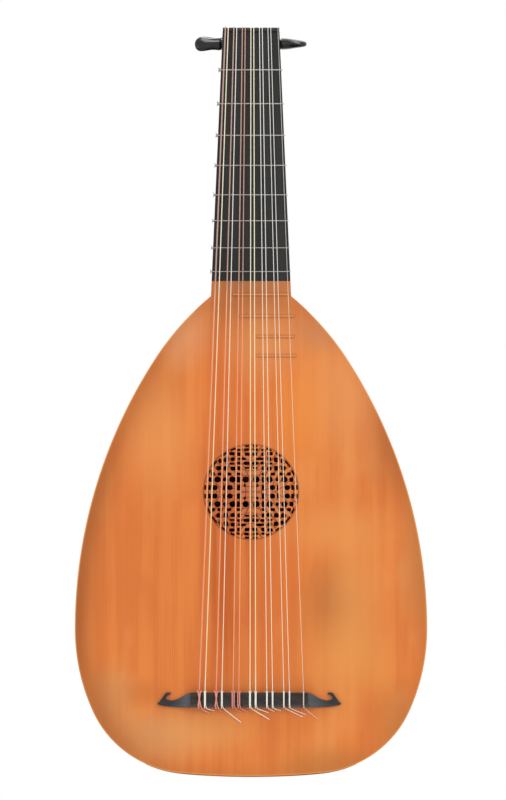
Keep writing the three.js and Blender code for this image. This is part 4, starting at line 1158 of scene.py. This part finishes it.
def make_neck():
    foot = at(0, board_thickness, joint_height)
    bpy.ops.mesh.primitive_circle_add(vertices=72, radius=1, fill_type="NGON", location=foot)
    neck = named("neck_fine")
    neck.scale = (neck_foot_half_width * MM, neck_depth_at(joint_height) * MM, 1)
    apply_place(neck)
    edit_all(neck)
    bpy.ops.mesh.bisect(plane_co=foot, plane_no=(0, -1, 0), clear_outer=True)
    bpy.ops.mesh.select_all(action="SELECT")
    length = (nut_top_height - joint_height) * MM
    bpy.ops.mesh.extrude_region_move(TRANSFORM_OT_translate={"value": (0, 0, length)})
    width = neck_half_width_at(nut_top_height) / neck_foot_half_width
    depth = neck_depth_at(nut_top_height) / neck_depth_at(joint_height)
    bpy.ops.transform.resize(value=(width, depth, 1), center_override=foot)
    bpy.ops.mesh.select_all(action="SELECT")
    bpy.ops.mesh.normals_make_consistent(inside=False)
    bevel_top = at(0, board_thickness, nut_top_height - neck_head_drop)
    bevel_way = (0, neck_head_bevel, pegbox_front + fit_gap)
    bpy.ops.mesh.bisect(plane_co=bevel_top, plane_no=bevel_way, use_fill=True, clear_outer=True)
    bpy.ops.object.mode_set(mode="OBJECT")
    wide = (neck_foot_half_width + overrun) * MM
    room_low = Vector((-wide, -fit_gap * MM, (pegbox_seat_depth - fit_gap) * MM))
    room_high = Vector((wide, neck_head_depth * 2 * MM, pegbox_near_depth * 2 * MM))
    carve(neck, add_block(room_low, room_high, pegbox_place))
    seat_low = at(-neck_foot_half_width - overrun, -overrun, nut_front_height)
    seat_high = at(neck_foot_half_width + overrun, board_thickness + nut_seat_depth, nut_top_height + overrun)
    carve(neck, add_block(seat_low, seat_high))
    bevel(neck, neck_edge, 40)
    apply_modifiers(neck)
    smooth(neck, 35)
    return settle(neck, dark_wood, "root", "dark_wood", "neck")


make_neck()

# %% [markdown]
# ## Pieces that keep the frame's own solids
# The fingerboard, the nut, the body frets, the neck block and the four boards of the pegbox are already
# right. They only need the softened edges that sandpaper leaves, from a Weld and a Bevel modifier, and
# their finish.


# %% Dress the frame's solids
weld_distance = 0.001
fingerboard_edge = 0.25
nut_edge = 0.12
block_edge = 0.5
body_fret_edge = 0.2


def dress(name, material, edge):
    """Gives a solid of the frame its finish, and its edges a small round."""
    solid = frame["nodes"][name]
    solid.data.materials.clear()
    solid.data.materials.append(material)
    add_modifier(solid, "WELD", merge_threshold=weld_distance * MM)
    bevel(solid, edge, 42)


dress("fingerboard", ebony, fingerboard_edge)
dress("nut", ebony, nut_edge)
dress("neck_block", bare_wood, block_edge)
for number in body_fret_numbers:
    dress(f"body_fret_{number:02d}", fret_wood, body_fret_edge)
for name in ("pegbox_bass_cheek", "pegbox_treble_cheek", "pegbox_back", "pegbox_end_block"):
    dress(name, dark_wood, block_edge)


# %% [markdown]
# ## Cords
# Strings and frets are gut. Each is a poly curve with a round bevel, which is then made a mesh. Only the
# tight corners of its route are rounded, within a small reach, so that the long straight stretches stay
# straight.

# %% Cords
cord_resolution = 2
cord_sides = 2 * cord_resolution + 4
cord_fullness = math.sqrt(2 * math.pi / (cord_sides * math.sin(2 * math.pi / cord_sides)))
eased_steps = 4
straight_enough = math.radians(12)
longest_eased_share = 0.45


def eased(points, reach):
    """Rounds each corner of a route within a reach of it."""
    route = [points[0]]
    for before, point, after in zip(points, points[1:], points[2:]):
        back, ahead = before - point, after - point
        if back.angle(-ahead, 0) < straight_enough:
            route.append(point)
            continue
        start, end = [point + way.normalized() * min(reach, longest_eased_share * way.length)
                      for way in (back, ahead)]
        for share in even_steps(1, eased_steps):
            route.append(start.lerp(point, share).lerp(point.lerp(end, share), share))
    return route + [points[-1]]


def add_cord(name, points, radius, closed=False):
    """A round cord along a route in metres, as a mesh whose UV map runs along it in metres and round it."""
    cord = add_curve(name, [points], closed, dimensions="3D", use_fill_caps=not closed,
                     bevel_depth=cord_fullness * radius * MM, bevel_resolution=cord_resolution)
    lay_uv(cord, points, closed)
    return cord


def lay_uv(cord, points, closed):
    """Sets a cord's UV map: U is the distance along it in metres, and V runs once round it."""
    travelled = [0.0]
    for before, after in zip(points, points[1:] + points[:1]):
        travelled.append(travelled[-1] + (after - before).length)
    if not cord.data.uv_layers:
        cord.data.uv_layers.new(name="UVMap")
    layer = cord.data.uv_layers.active.data
    for polygon in cord.data.polygons:
        corners = [cord.data.loops[index].vertex_index for index in polygon.loop_indices]
        rings = [corner // cord_sides for corner in corners]
        turns = [corner % cord_sides for corner in corners]
        wraps_round = max(turns) - min(turns) > 1
        wraps_along = closed and max(rings) - min(rings) > 1
        for index, ring, turn in zip(polygon.loop_indices, rings, turns):
            ring = len(points) if wraps_along and ring == 0 else min(ring, len(points) - 1)
            turn = cord_sides if wraps_round and turn == 0 else turn
            layer[index].uv = (travelled[ring], turn / cord_sides)


# %% [markdown]
# ## Tied frets
# Each of the first eight frets is one turn of gut round the neck, thicker near the nut, knotted on the bass
# side with its two ends clipped short. It can be pushed along the neck, so each rides on its own body, and
# its loop keeps a little room for the wider neck that it meets further down.

# %% Tied frets
tied_fret_count = 8
first_fret_diameter = 1.0
last_fret_diameter = 0.6
fret_clearance = 0.12
fret_slide_room = 0.16
fret_corner_steps = 5
fret_back_steps = 40
knot_turns = 2
knot_steps_per_turn = 10
knot_depth = 1.6
knot_coil_share = 2.1
knot_pitch_share = 1.9
knot_thickness_share = 0.9
knot_corner_reach = 0.8
knot_first_end = (-1.0, -1.2, 2.3)
knot_last_end = (-1.3, 1.0, -2.0)


def fret_route(height, radius):
    over = fret_clearance + radius
    away = over + fret_slide_room
    half = neck_half_width_at(height)
    depth = neck_depth_at(height)
    corner = [(half + away * math.sin(turn), -over * math.cos(turn))
              for turn in even_steps(math.pi / 2, fret_corner_steps)]
    back = [((half + away) * math.cos(turn), board_thickness + (depth + away) * math.sin(turn))
            for turn in even_steps(math.pi, fret_back_steps)]
    route = corner + back + [(-x, y) for x, y in reversed(corner)]
    return [at(x, y, height) for x, y in route]


def knot_route(height, radius):
    """The knot: two turns round the fret at the neck's side, and an end on either side of it."""
    side = -neck_half_width_at(height) - fret_clearance - fret_slide_room - radius
    coil = knot_coil_share * radius
    length = knot_pitch_share * radius * knot_turns
    points = [knot_first_end]
    steps = knot_turns * knot_steps_per_turn
    for step in range(steps + 1):
        turn = 2 * math.pi * step / knot_steps_per_turn
        points.append((-coil * math.cos(turn), length * (step / steps - 0.5), coil * math.sin(turn)))
    points.append(knot_last_end)
    return [at(side + x, knot_depth + y, height + z) for x, y, z in points]


def make_tied_fret(number):
    node_name = f"tied_fret_{number}"
    low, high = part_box(node_name)
    height = height_of((low.z + high.z) / 2)
    radius = between(first_fret_diameter, last_fret_diameter, (number - 1) / (tied_fret_count - 1)) / 2
    loop = add_cord("loop", fret_route(height, radius), radius, closed=True)
    knot_points = eased(knot_route(height, radius), knot_corner_reach * MM)
    knot = add_cord("knot", knot_points, knot_thickness_share * radius)
    fret = join([loop, knot], f"{node_name}_fine")
    smooth(fret, 60)
    return settle(fret, fret_gut, node_name, "fret_gut", node_name)


for number in range(1, tied_fret_count + 1):
    make_tied_fret(number)
print("Tied frets:", tied_fret_count)

# %% [markdown]
# ## The bridge
# The bridge is one block of ebony with a hole for each string, and at each end a thin arm that is swept
# down from the block and curled into a scroll. The whole outline is one flat curve, as thick as the block.
# A cutter with a hollow profile then sweeps each arm down, and another slopes the block's lower side to its
# ledge.

# %% The bridge's outline
bridge_front_height = 76.4
bridge_depth = 13.8
bridge_top_depth = 10.6
bridge_ledge_height = 4.5
bridge_ledge_width = 1.4
bridge_arm_length = 30.5
bridge_arm_height = 2.5
bridge_hole_height = 6.5
bridge_hole_clearance = 0.25
bridge_cove_length = 15
bridge_cove_steps = 10
bridge_edge = 0.35
bridge_arm_shares = [
    [-0.02, 0.985], [0.095, 0.93], [0.2, 0.8], [0.325, 0.63], [0.46, 0.5], [0.6, 0.455], [0.725, 0.53],
    [0.735, 0.7], [0.61, 0.88], [0.61, 0.97], [0.745, 0.965], [0.8, 0.8], [0.87, 0.59], [0.94, 0.38],
    [1, 0.22], [0.82, 0.1], [0.63, 0.045], [0.3, 0],
]


def curve_through(points, steps):
    """A smooth row of points through a row of points: a cubic between two, sloped by their neighbours."""
    row = [Vector(point) for point in points]
    padded = [2 * row[0] - row[1]] + row + [2 * row[-1] - row[-2]]
    smooth_row = []
    for before, start, end, after in zip(padded, padded[1:], padded[2:], padded[3:]):
        for step in range(steps):
            share = step / steps
            smooth_row.append((2 * start + (end - before) * share
                               + (2 * before - 5 * start + 4 * end - after) * share ** 2
                               + (3 * start - before - 3 * end + after) * share ** 3) / 2)
    return smooth_row + [row[-1]]


def bridge_outline():
    back = bridge_front_height - bridge_depth
    sides = []
    for side in (1, -1):
        start = bridge_block_shift + side * bridge_block_half_length
        arm = [(start + side * out * bridge_arm_length, back + up * bridge_depth)
               for out, up in bridge_arm_shares]
        sides.append([tuple(point) for point in curve_through(arm, 4)])
    right, left = sides
    return right + list(reversed(left))


# %% The bridge
def profile_cutter(points, low, high, along_height):
    """A prism from a closed profile: along the lute's height, or across it."""
    cutter = add_plate("cutter", [points], high - low)
    middle = (low + high) / 2
    if along_height:
        cutter.location = at(0, 0, middle)
    else:
        turn = Matrix(((0, 0, 1, 0), (1, 0, 0, 0), (0, 1, 0, 0), (0, 0, 0, 1)))
        cutter.matrix_world = Matrix.Translation(at(middle, 0, 0)) @ turn
    apply_place(cutter)
    merge(cutter)
    return cutter


def make_bridge():
    bridge = add_plate("bridge_fine", [bridge_outline()], bridge_block_height)
    stand_up(bridge, bridge_block_height, -bridge_block_height)
    back = bridge_front_height - bridge_depth
    rise = bridge_block_height - bridge_arm_height
    for side in (1, -1):
        end = bridge_block_shift + side * bridge_block_half_length
        cove = [(end + side * bridge_cove_length * (1 - math.cos(turn)),
                 -bridge_block_height - pared_edge + (rise + pared_edge) * math.sin(turn))
                for turn in even_steps(math.pi / 2, bridge_cove_steps)]
        tip = end + side * (bridge_arm_length + overrun)
        above = -bridge_block_height - overrun
        cove += [(tip, -bridge_arm_height), (tip, above), (end, above)]
        carve(bridge, profile_cutter(cove, back - overrun, bridge_front_height + overrun, True))
    slope_top = bridge_front_height - bridge_top_depth
    slope = [(-bridge_ledge_height, back - overrun), (-bridge_ledge_height, back + bridge_ledge_width),
             (-bridge_block_height, slope_top), (-bridge_block_height - overrun, slope_top),
             (-bridge_block_height - overrun, back - overrun)]
    reach = bridge_block_half_length + bridge_arm_length + overrun
    carve(bridge, profile_cutter(slope, -reach, reach, False))
    for string in strings:
        middle = at(string.bridge_x, -bridge_hole_height, back + bridge_depth / 2)
        bpy.ops.mesh.primitive_cylinder_add(vertices=16, radius=(string.radius + bridge_hole_clearance) * MM,
                                            depth=2 * bridge_depth * MM, location=middle)
        carve(bridge, named("cutter"))
    bevel(bridge, bridge_edge, 38)
    apply_modifiers(bridge)
    merge(bridge)
    smooth(bridge, 30)
    return settle(bridge, bridge_ebony, "root", "ebony", "bridge")


# %% [markdown]
# ## The pegs
# A peg is turned from ebony: a slightly tapered shaft, a small collar, and a head like a leaf, thick near
# the collar and thin at its tip, that is carved with eight flat sides. One is modelled, ring by ring, each
# ring extruded from the last and drawn to its size. The head's rings are then drawn in between their
# corners, which makes its sides flat, and a bevel rounds the corners a little. The others are copies, each
# turned as its owner left it.

# %% One peg
peg_tip_radius = 3.2
peg_collar_radius = 4.2
peg_tip_stand = 1.5
peg_neck_stand = 2.5
peg_head_length = 24.5
peg_head_half_width = 7.2
peg_head_half_thickness = 5.2
peg_head_gap = 0.15
peg_flat_start = 0.2
peg_edge = 0.35
peg_sides = 16
peg_head_shares = [
    [0, 0.6, 0.8], [0.025, 0.76, 0.92], [0.06, 0.86, 0.98], [0.11, 0.86, 1.0], [0.17, 0.82, 0.99],
    [0.26, 0.8, 0.95], [0.36, 0.8, 0.9], [0.48, 0.86, 0.82], [0.6, 0.94, 0.73], [0.72, 1.0, 0.64],
    [0.82, 0.99, 0.57], [0.9, 0.86, 0.5], [0.96, 0.62, 0.4], [1, 0.28, 0.2],
]
model_half_width = pegbox_half_width_at(pegbox_length / 2)


def peg_radius_at(x):
    return between(peg_tip_radius, peg_collar_radius, (x / pegbox_near_half_width + 1) / 2)


def list_rings():
    """Each ring of a peg: how far along it lies, and its half width and half thickness."""
    half = model_half_width
    rings = [(-half - out * peg_tip_stand, share * peg_tip_radius, share * peg_tip_radius)
             for out, share in [(1, 0.45), (0.9, 0.85)]]
    tip, collar = -half - 0.5 * peg_tip_stand, half + peg_neck_stand
    for x in (tip, -half, 0, half, half + 0.8 * peg_neck_stand, collar):
        rings.append((x, peg_radius_at(x), peg_radius_at(x)))
    for out, width, thickness in peg_head_shares:
        rings.append((half + peg_neck_stand + peg_head_gap + out * peg_head_length,
                      width * peg_head_half_width, thickness * peg_head_half_thickness))
    return rings


peg_rings = list_rings()


def model_peg():
    x, width, thickness = peg_rings[0]
    bpy.ops.mesh.primitive_circle_add(vertices=peg_sides, radius=1, fill_type="NGON",
                                      rotation=(0, math.pi / 2, 0))
    peg = named("peg_model")
    apply_place(peg)
    edit_all(peg)
    bpy.ops.transform.resize(value=(1, thickness * MM, width * MM), center_override=(0, 0, 0))
    bpy.ops.transform.translate(value=(x * MM, 0, 0))
    for next_x, next_width, next_thickness in peg_rings[1:]:
        bpy.ops.mesh.extrude_region_move(TRANSFORM_OT_translate={"value": ((next_x - x) * MM, 0, 0)})
        bpy.ops.transform.resize(value=(1, next_thickness / thickness, next_width / width),
                                 center_override=(next_x * MM, 0, 0))
        x, width, thickness = next_x, next_width, next_thickness
    bpy.ops.object.mode_set(mode="OBJECT")
    merge(peg)
    flatten_sides(peg)
    bevel(peg, peg_edge, 28)
    apply_modifiers(peg)
    smooth(peg, 22)
    return peg


def flatten_sides(peg):
    """Draws every second corner of the head's rings in to the line between its neighbours."""
    step = 2 * math.pi / peg_sides
    head_start = (model_half_width + peg_neck_stand + peg_flat_start) * MM
    for vertex in peg.data.vertices:
        ring = min(peg_rings, key=lambda ring: abs(ring[0] * MM - vertex.co.x))
        if vertex.co.x > head_start:
            angle = math.atan2(vertex.co.z / ring[1], vertex.co.y / ring[2])
            if round(angle / step) % 2:
                vertex.co.y *= math.cos(step)
                vertex.co.z *= math.cos(step)


# %% The thirteen pegs
peg_turns = [24, -75, 40, 100, -20, 65, 150, 84, 95, 79, 99, 86, 92]
bass_peg_count = 7
Peg = namedtuple("Peg", "number side reach height")


def list_pegs():
    pegs = []
    for joint in frame["joints"]:
        if joint["name"].startswith("peg_"):
            place = pegbox_place.inverted() @ Vector(joint["pos_m"])
            number = int(joint["child"].split("_")[1])
            side = -1 if number <= bass_peg_count else 1
            pegs.append(Peg(number, side, place.y / MM, place.z / MM))
    return pegs


pegs = list_pegs()


def make_peg(peg, model):
    name = f"peg_{peg.number:02d}"
    piece = model.copy()
    piece.data = model.data.copy()
    piece.name = f"{name}_fine"
    piece.data.name = piece.name
    bpy.context.collection.objects.link(piece)
    longer = (pegbox_half_width_at(peg.reach) - model_half_width) * MM
    for vertex in piece.data.vertices:
        vertex.co.x += math.copysign(longer, vertex.co.x)
    turn = Matrix.Rotation(math.radians(peg_turns[peg.number - 1]), 4, "X")
    half_turn = Matrix.Rotation(math.pi if peg.side < 0 else 0, 4, "Z")
    place = Matrix.Translation((0, peg.reach * MM, peg.height * MM))
    piece.matrix_world = pegbox_place @ place @ half_turn @ turn
    return settle(piece, peg_ebony, name, "ebony", name)


peg_model = model_peg()
for peg in pegs:
    make_peg(peg, peg_model)
bpy.data.objects.remove(peg_model)
print("Pegs:", len(pegs))

# %% [markdown]
# ## The strings
# Thirteen strings in seven courses: six pairs and a single. Each is one cord: a cut end, a tie over the
# bridge, the long straight stretch, the bend over the nut and a few turns round its peg. The thick strings
# of the three lowest courses are stained and twisted, and their partners are pale.

# %% A list of the strings
course_count = 7
course_pitch_at_bridge = 15.35
course_shift_at_nut = 1.2
course_shift_at_bridge = 1.65
pair_gap_at_nut = 2.6
pair_gap_at_bridge = 5.15
nut_side_inset = 0.2
nut_end_margin = 2.45
course_pitch_at_nut = 2 * (neck_head_half_width - nut_side_inset - nut_end_margin) / (course_count - 1)
string_diameters = [1.35, 0.9, 1.2, 0.8, 1.05, 1.0, 0.85, 0.85, 0.7, 0.7, 0.6, 0.6, 0.46]
stained_strings = (1, 3, 5, 6)
wound_strings = (1, 3, 4, 5, 6)
cream_strings = (2, 7, 8)
crossed_strings = (1, 3)
String = namedtuple("String", "number radius nut_x bridge_x peg")


def list_strings():
    strings = []
    for index, diameter in enumerate(string_diameters):
        course = index // 2
        is_single = course == course_count - 1
        side_of_pair = 0 if is_single else index % 2 - 0.5
        from_middle = course - (course_count - 1) / 2
        nut_x = course_shift_at_nut + from_middle * course_pitch_at_nut + side_of_pair * pair_gap_at_nut
        bridge_x = (course_shift_at_bridge + from_middle * course_pitch_at_bridge
                    + side_of_pair * pair_gap_at_bridge)
        peg = next(peg for peg in pegs if peg.number == index + 1)
        strings.append(String(index + 1, diameter / 2, nut_x, bridge_x, peg))
    return strings


strings = list_strings()
make_bridge()

# %% The tie at the bridge
string_clearance = 0.3
tie_gap = 0.75
pale_tie_gap = 0.15
string_tails = [
    (9.6, 4.4), (8.4, 2.2), (4.6, 3), (17.3, 13), (7.6, 3.4), (7.8, 2.8), (17.8, 10.4),
    (11.8, 4), (6.6, 3), (7.4, 2.2), (17.4, 8.2), (14.8, 6), (12.8, 10),
]


def route_at_bridge(string):
    """From the cut end over the block, round the string itself, back over the block, and through the hole."""
    radius = string.radius
    back = bridge_front_height - bridge_depth
    close = radius + string_clearance
    over = -(bridge_block_height + close)
    under = -(bridge_hole_height - 2 * radius - tie_gap)
    top_back = bridge_front_height - bridge_top_depth - close
    top_front = bridge_front_height + close
    stained = string.number in stained_strings
    beside = close if stained else 1.04 * radius
    hook = 2 * radius + tie_gap if stained else 2.1 * radius + pale_tie_gap
    tail_across, tail_down = string_tails[string.number - 1]
    swap = -1 if string.number in crossed_strings else 1
    route = [
        (tail_across, -close, back - close - tail_down),
        (beside + 1.7 * close, -bridge_ledge_height, back - 1.5 * close),
        (beside, over, top_back),
        (swap * beside, over, top_front),
        (swap * hook, -bridge_block_height + close, top_front),
        (swap * hook, under - close, top_front + close / 2),
        (0, under, top_front + close / 2),
        (-swap * hook, under - close, top_front + close / 2),
        (-swap * hook, -bridge_block_height + close, top_front),
        (-swap * beside, over, top_front),
        (-beside, over, top_back),
        (-beside / 2, -bridge_hole_height - close / 2, back - close / 2),
        (0, -bridge_hole_height, back - close / 2),
        (0, -bridge_hole_height, bridge_front_height + 2 * close),
    ]
    if swap < 0:
        crossing = (0, over - 2.1 * radius, (top_back + top_front) / 2)
        route.insert(10, crossing)
    return [at(string.bridge_x + x, y, z) for x, y, z in route]


# %% The bend over the nut and the turns on the peg
nut_corner_radius = 2.4
nut_proud = 2.2
nut_groove_depth = 0.7
nut_bend_steps = 8
nut_corner = (nut_corner_radius - nut_proud, nut_top_height - nut_corner_radius)
cheek_thickness = 5
winding_turns = 2.7
winding_steps = 20
winding_gap = 0.12
winding_cheek_gap = 2.9
winding_far_reach = 2.6
winding_clearance = 0.14


def winding(string):
    """The turns on the peg, away from the side that the string comes from."""
    peg = string.peg
    near = pegbox_half_width_at(peg.reach) - cheek_thickness - winding_cheek_gap
    order = peg.number - 1 if peg.side < 0 else len(string_diameters) - peg.number
    start = peg.side * between(near, winding_far_reach, order / (bass_peg_count - 1))
    pitch = (2 * string.radius + winding_gap) * math.copysign(1, start - string.nut_x)
    shaft = peg_radius_at(abs(start) + abs(pitch) * winding_turns)
    away = shaft + winding_clearance + string.radius
    from_nut = at(string.nut_x, nut_corner[0], nut_top_height + string_clearance + string.radius)
    local = pegbox_place.inverted() @ from_nut / MM
    run = (local.y - peg.reach, local.z - peg.height)
    first = math.atan2(run[1], run[0]) - math.acos(away / math.hypot(*run))
    points = []
    for step in range(round(winding_turns * winding_steps) + 1):
        angle = first - 2 * math.pi * step / winding_steps
        x = start + pitch * step / winding_steps
        points.append((x, peg.reach + away * math.cos(angle), peg.height + away * math.sin(angle)))
    return [pegbox_place @ (Vector(point) * MM) for point in points]


def bend_over_nut(string, target):
    radius = nut_corner_radius - nut_groove_depth + string_clearance + string.radius
    drop = height_of(target.z)
    reach = (target.y - front) / MM
    descent = math.atan2(nut_corner[1] + radius - drop, reach - nut_corner[0])
    sweep = math.pi / 2 + descent
    centre = at(string.nut_x, *nut_corner)
    return [centre + Vector((0, -math.cos(angle), math.sin(angle))) * radius * MM
            for angle in even_steps(sweep, nut_bend_steps)]


# %% The strings
def string_material(number):
    if number in stained_strings:
        return stained_gut
    if number in cream_strings:
        return cream_gut
    return thin_gut if number == len(string_diameters) else clear_gut


def make_string(string):
    turns = winding(string)
    tie = eased(route_at_bridge(string), 1.5 * string.radius * MM)
    route = tie + bend_over_nut(string, turns[0]) + turns
    name = f"string_{string.number:02d}"
    piece = add_cord(f"{name}_fine", route, string.radius)
    smooth(piece, 60)
    slot = "wound_string" if string.number in wound_strings else "pale_string"
    return settle(piece, string_material(string.number), "root", slot, name)


for string in strings:
    make_string(string)
print("Strings:", len(strings))
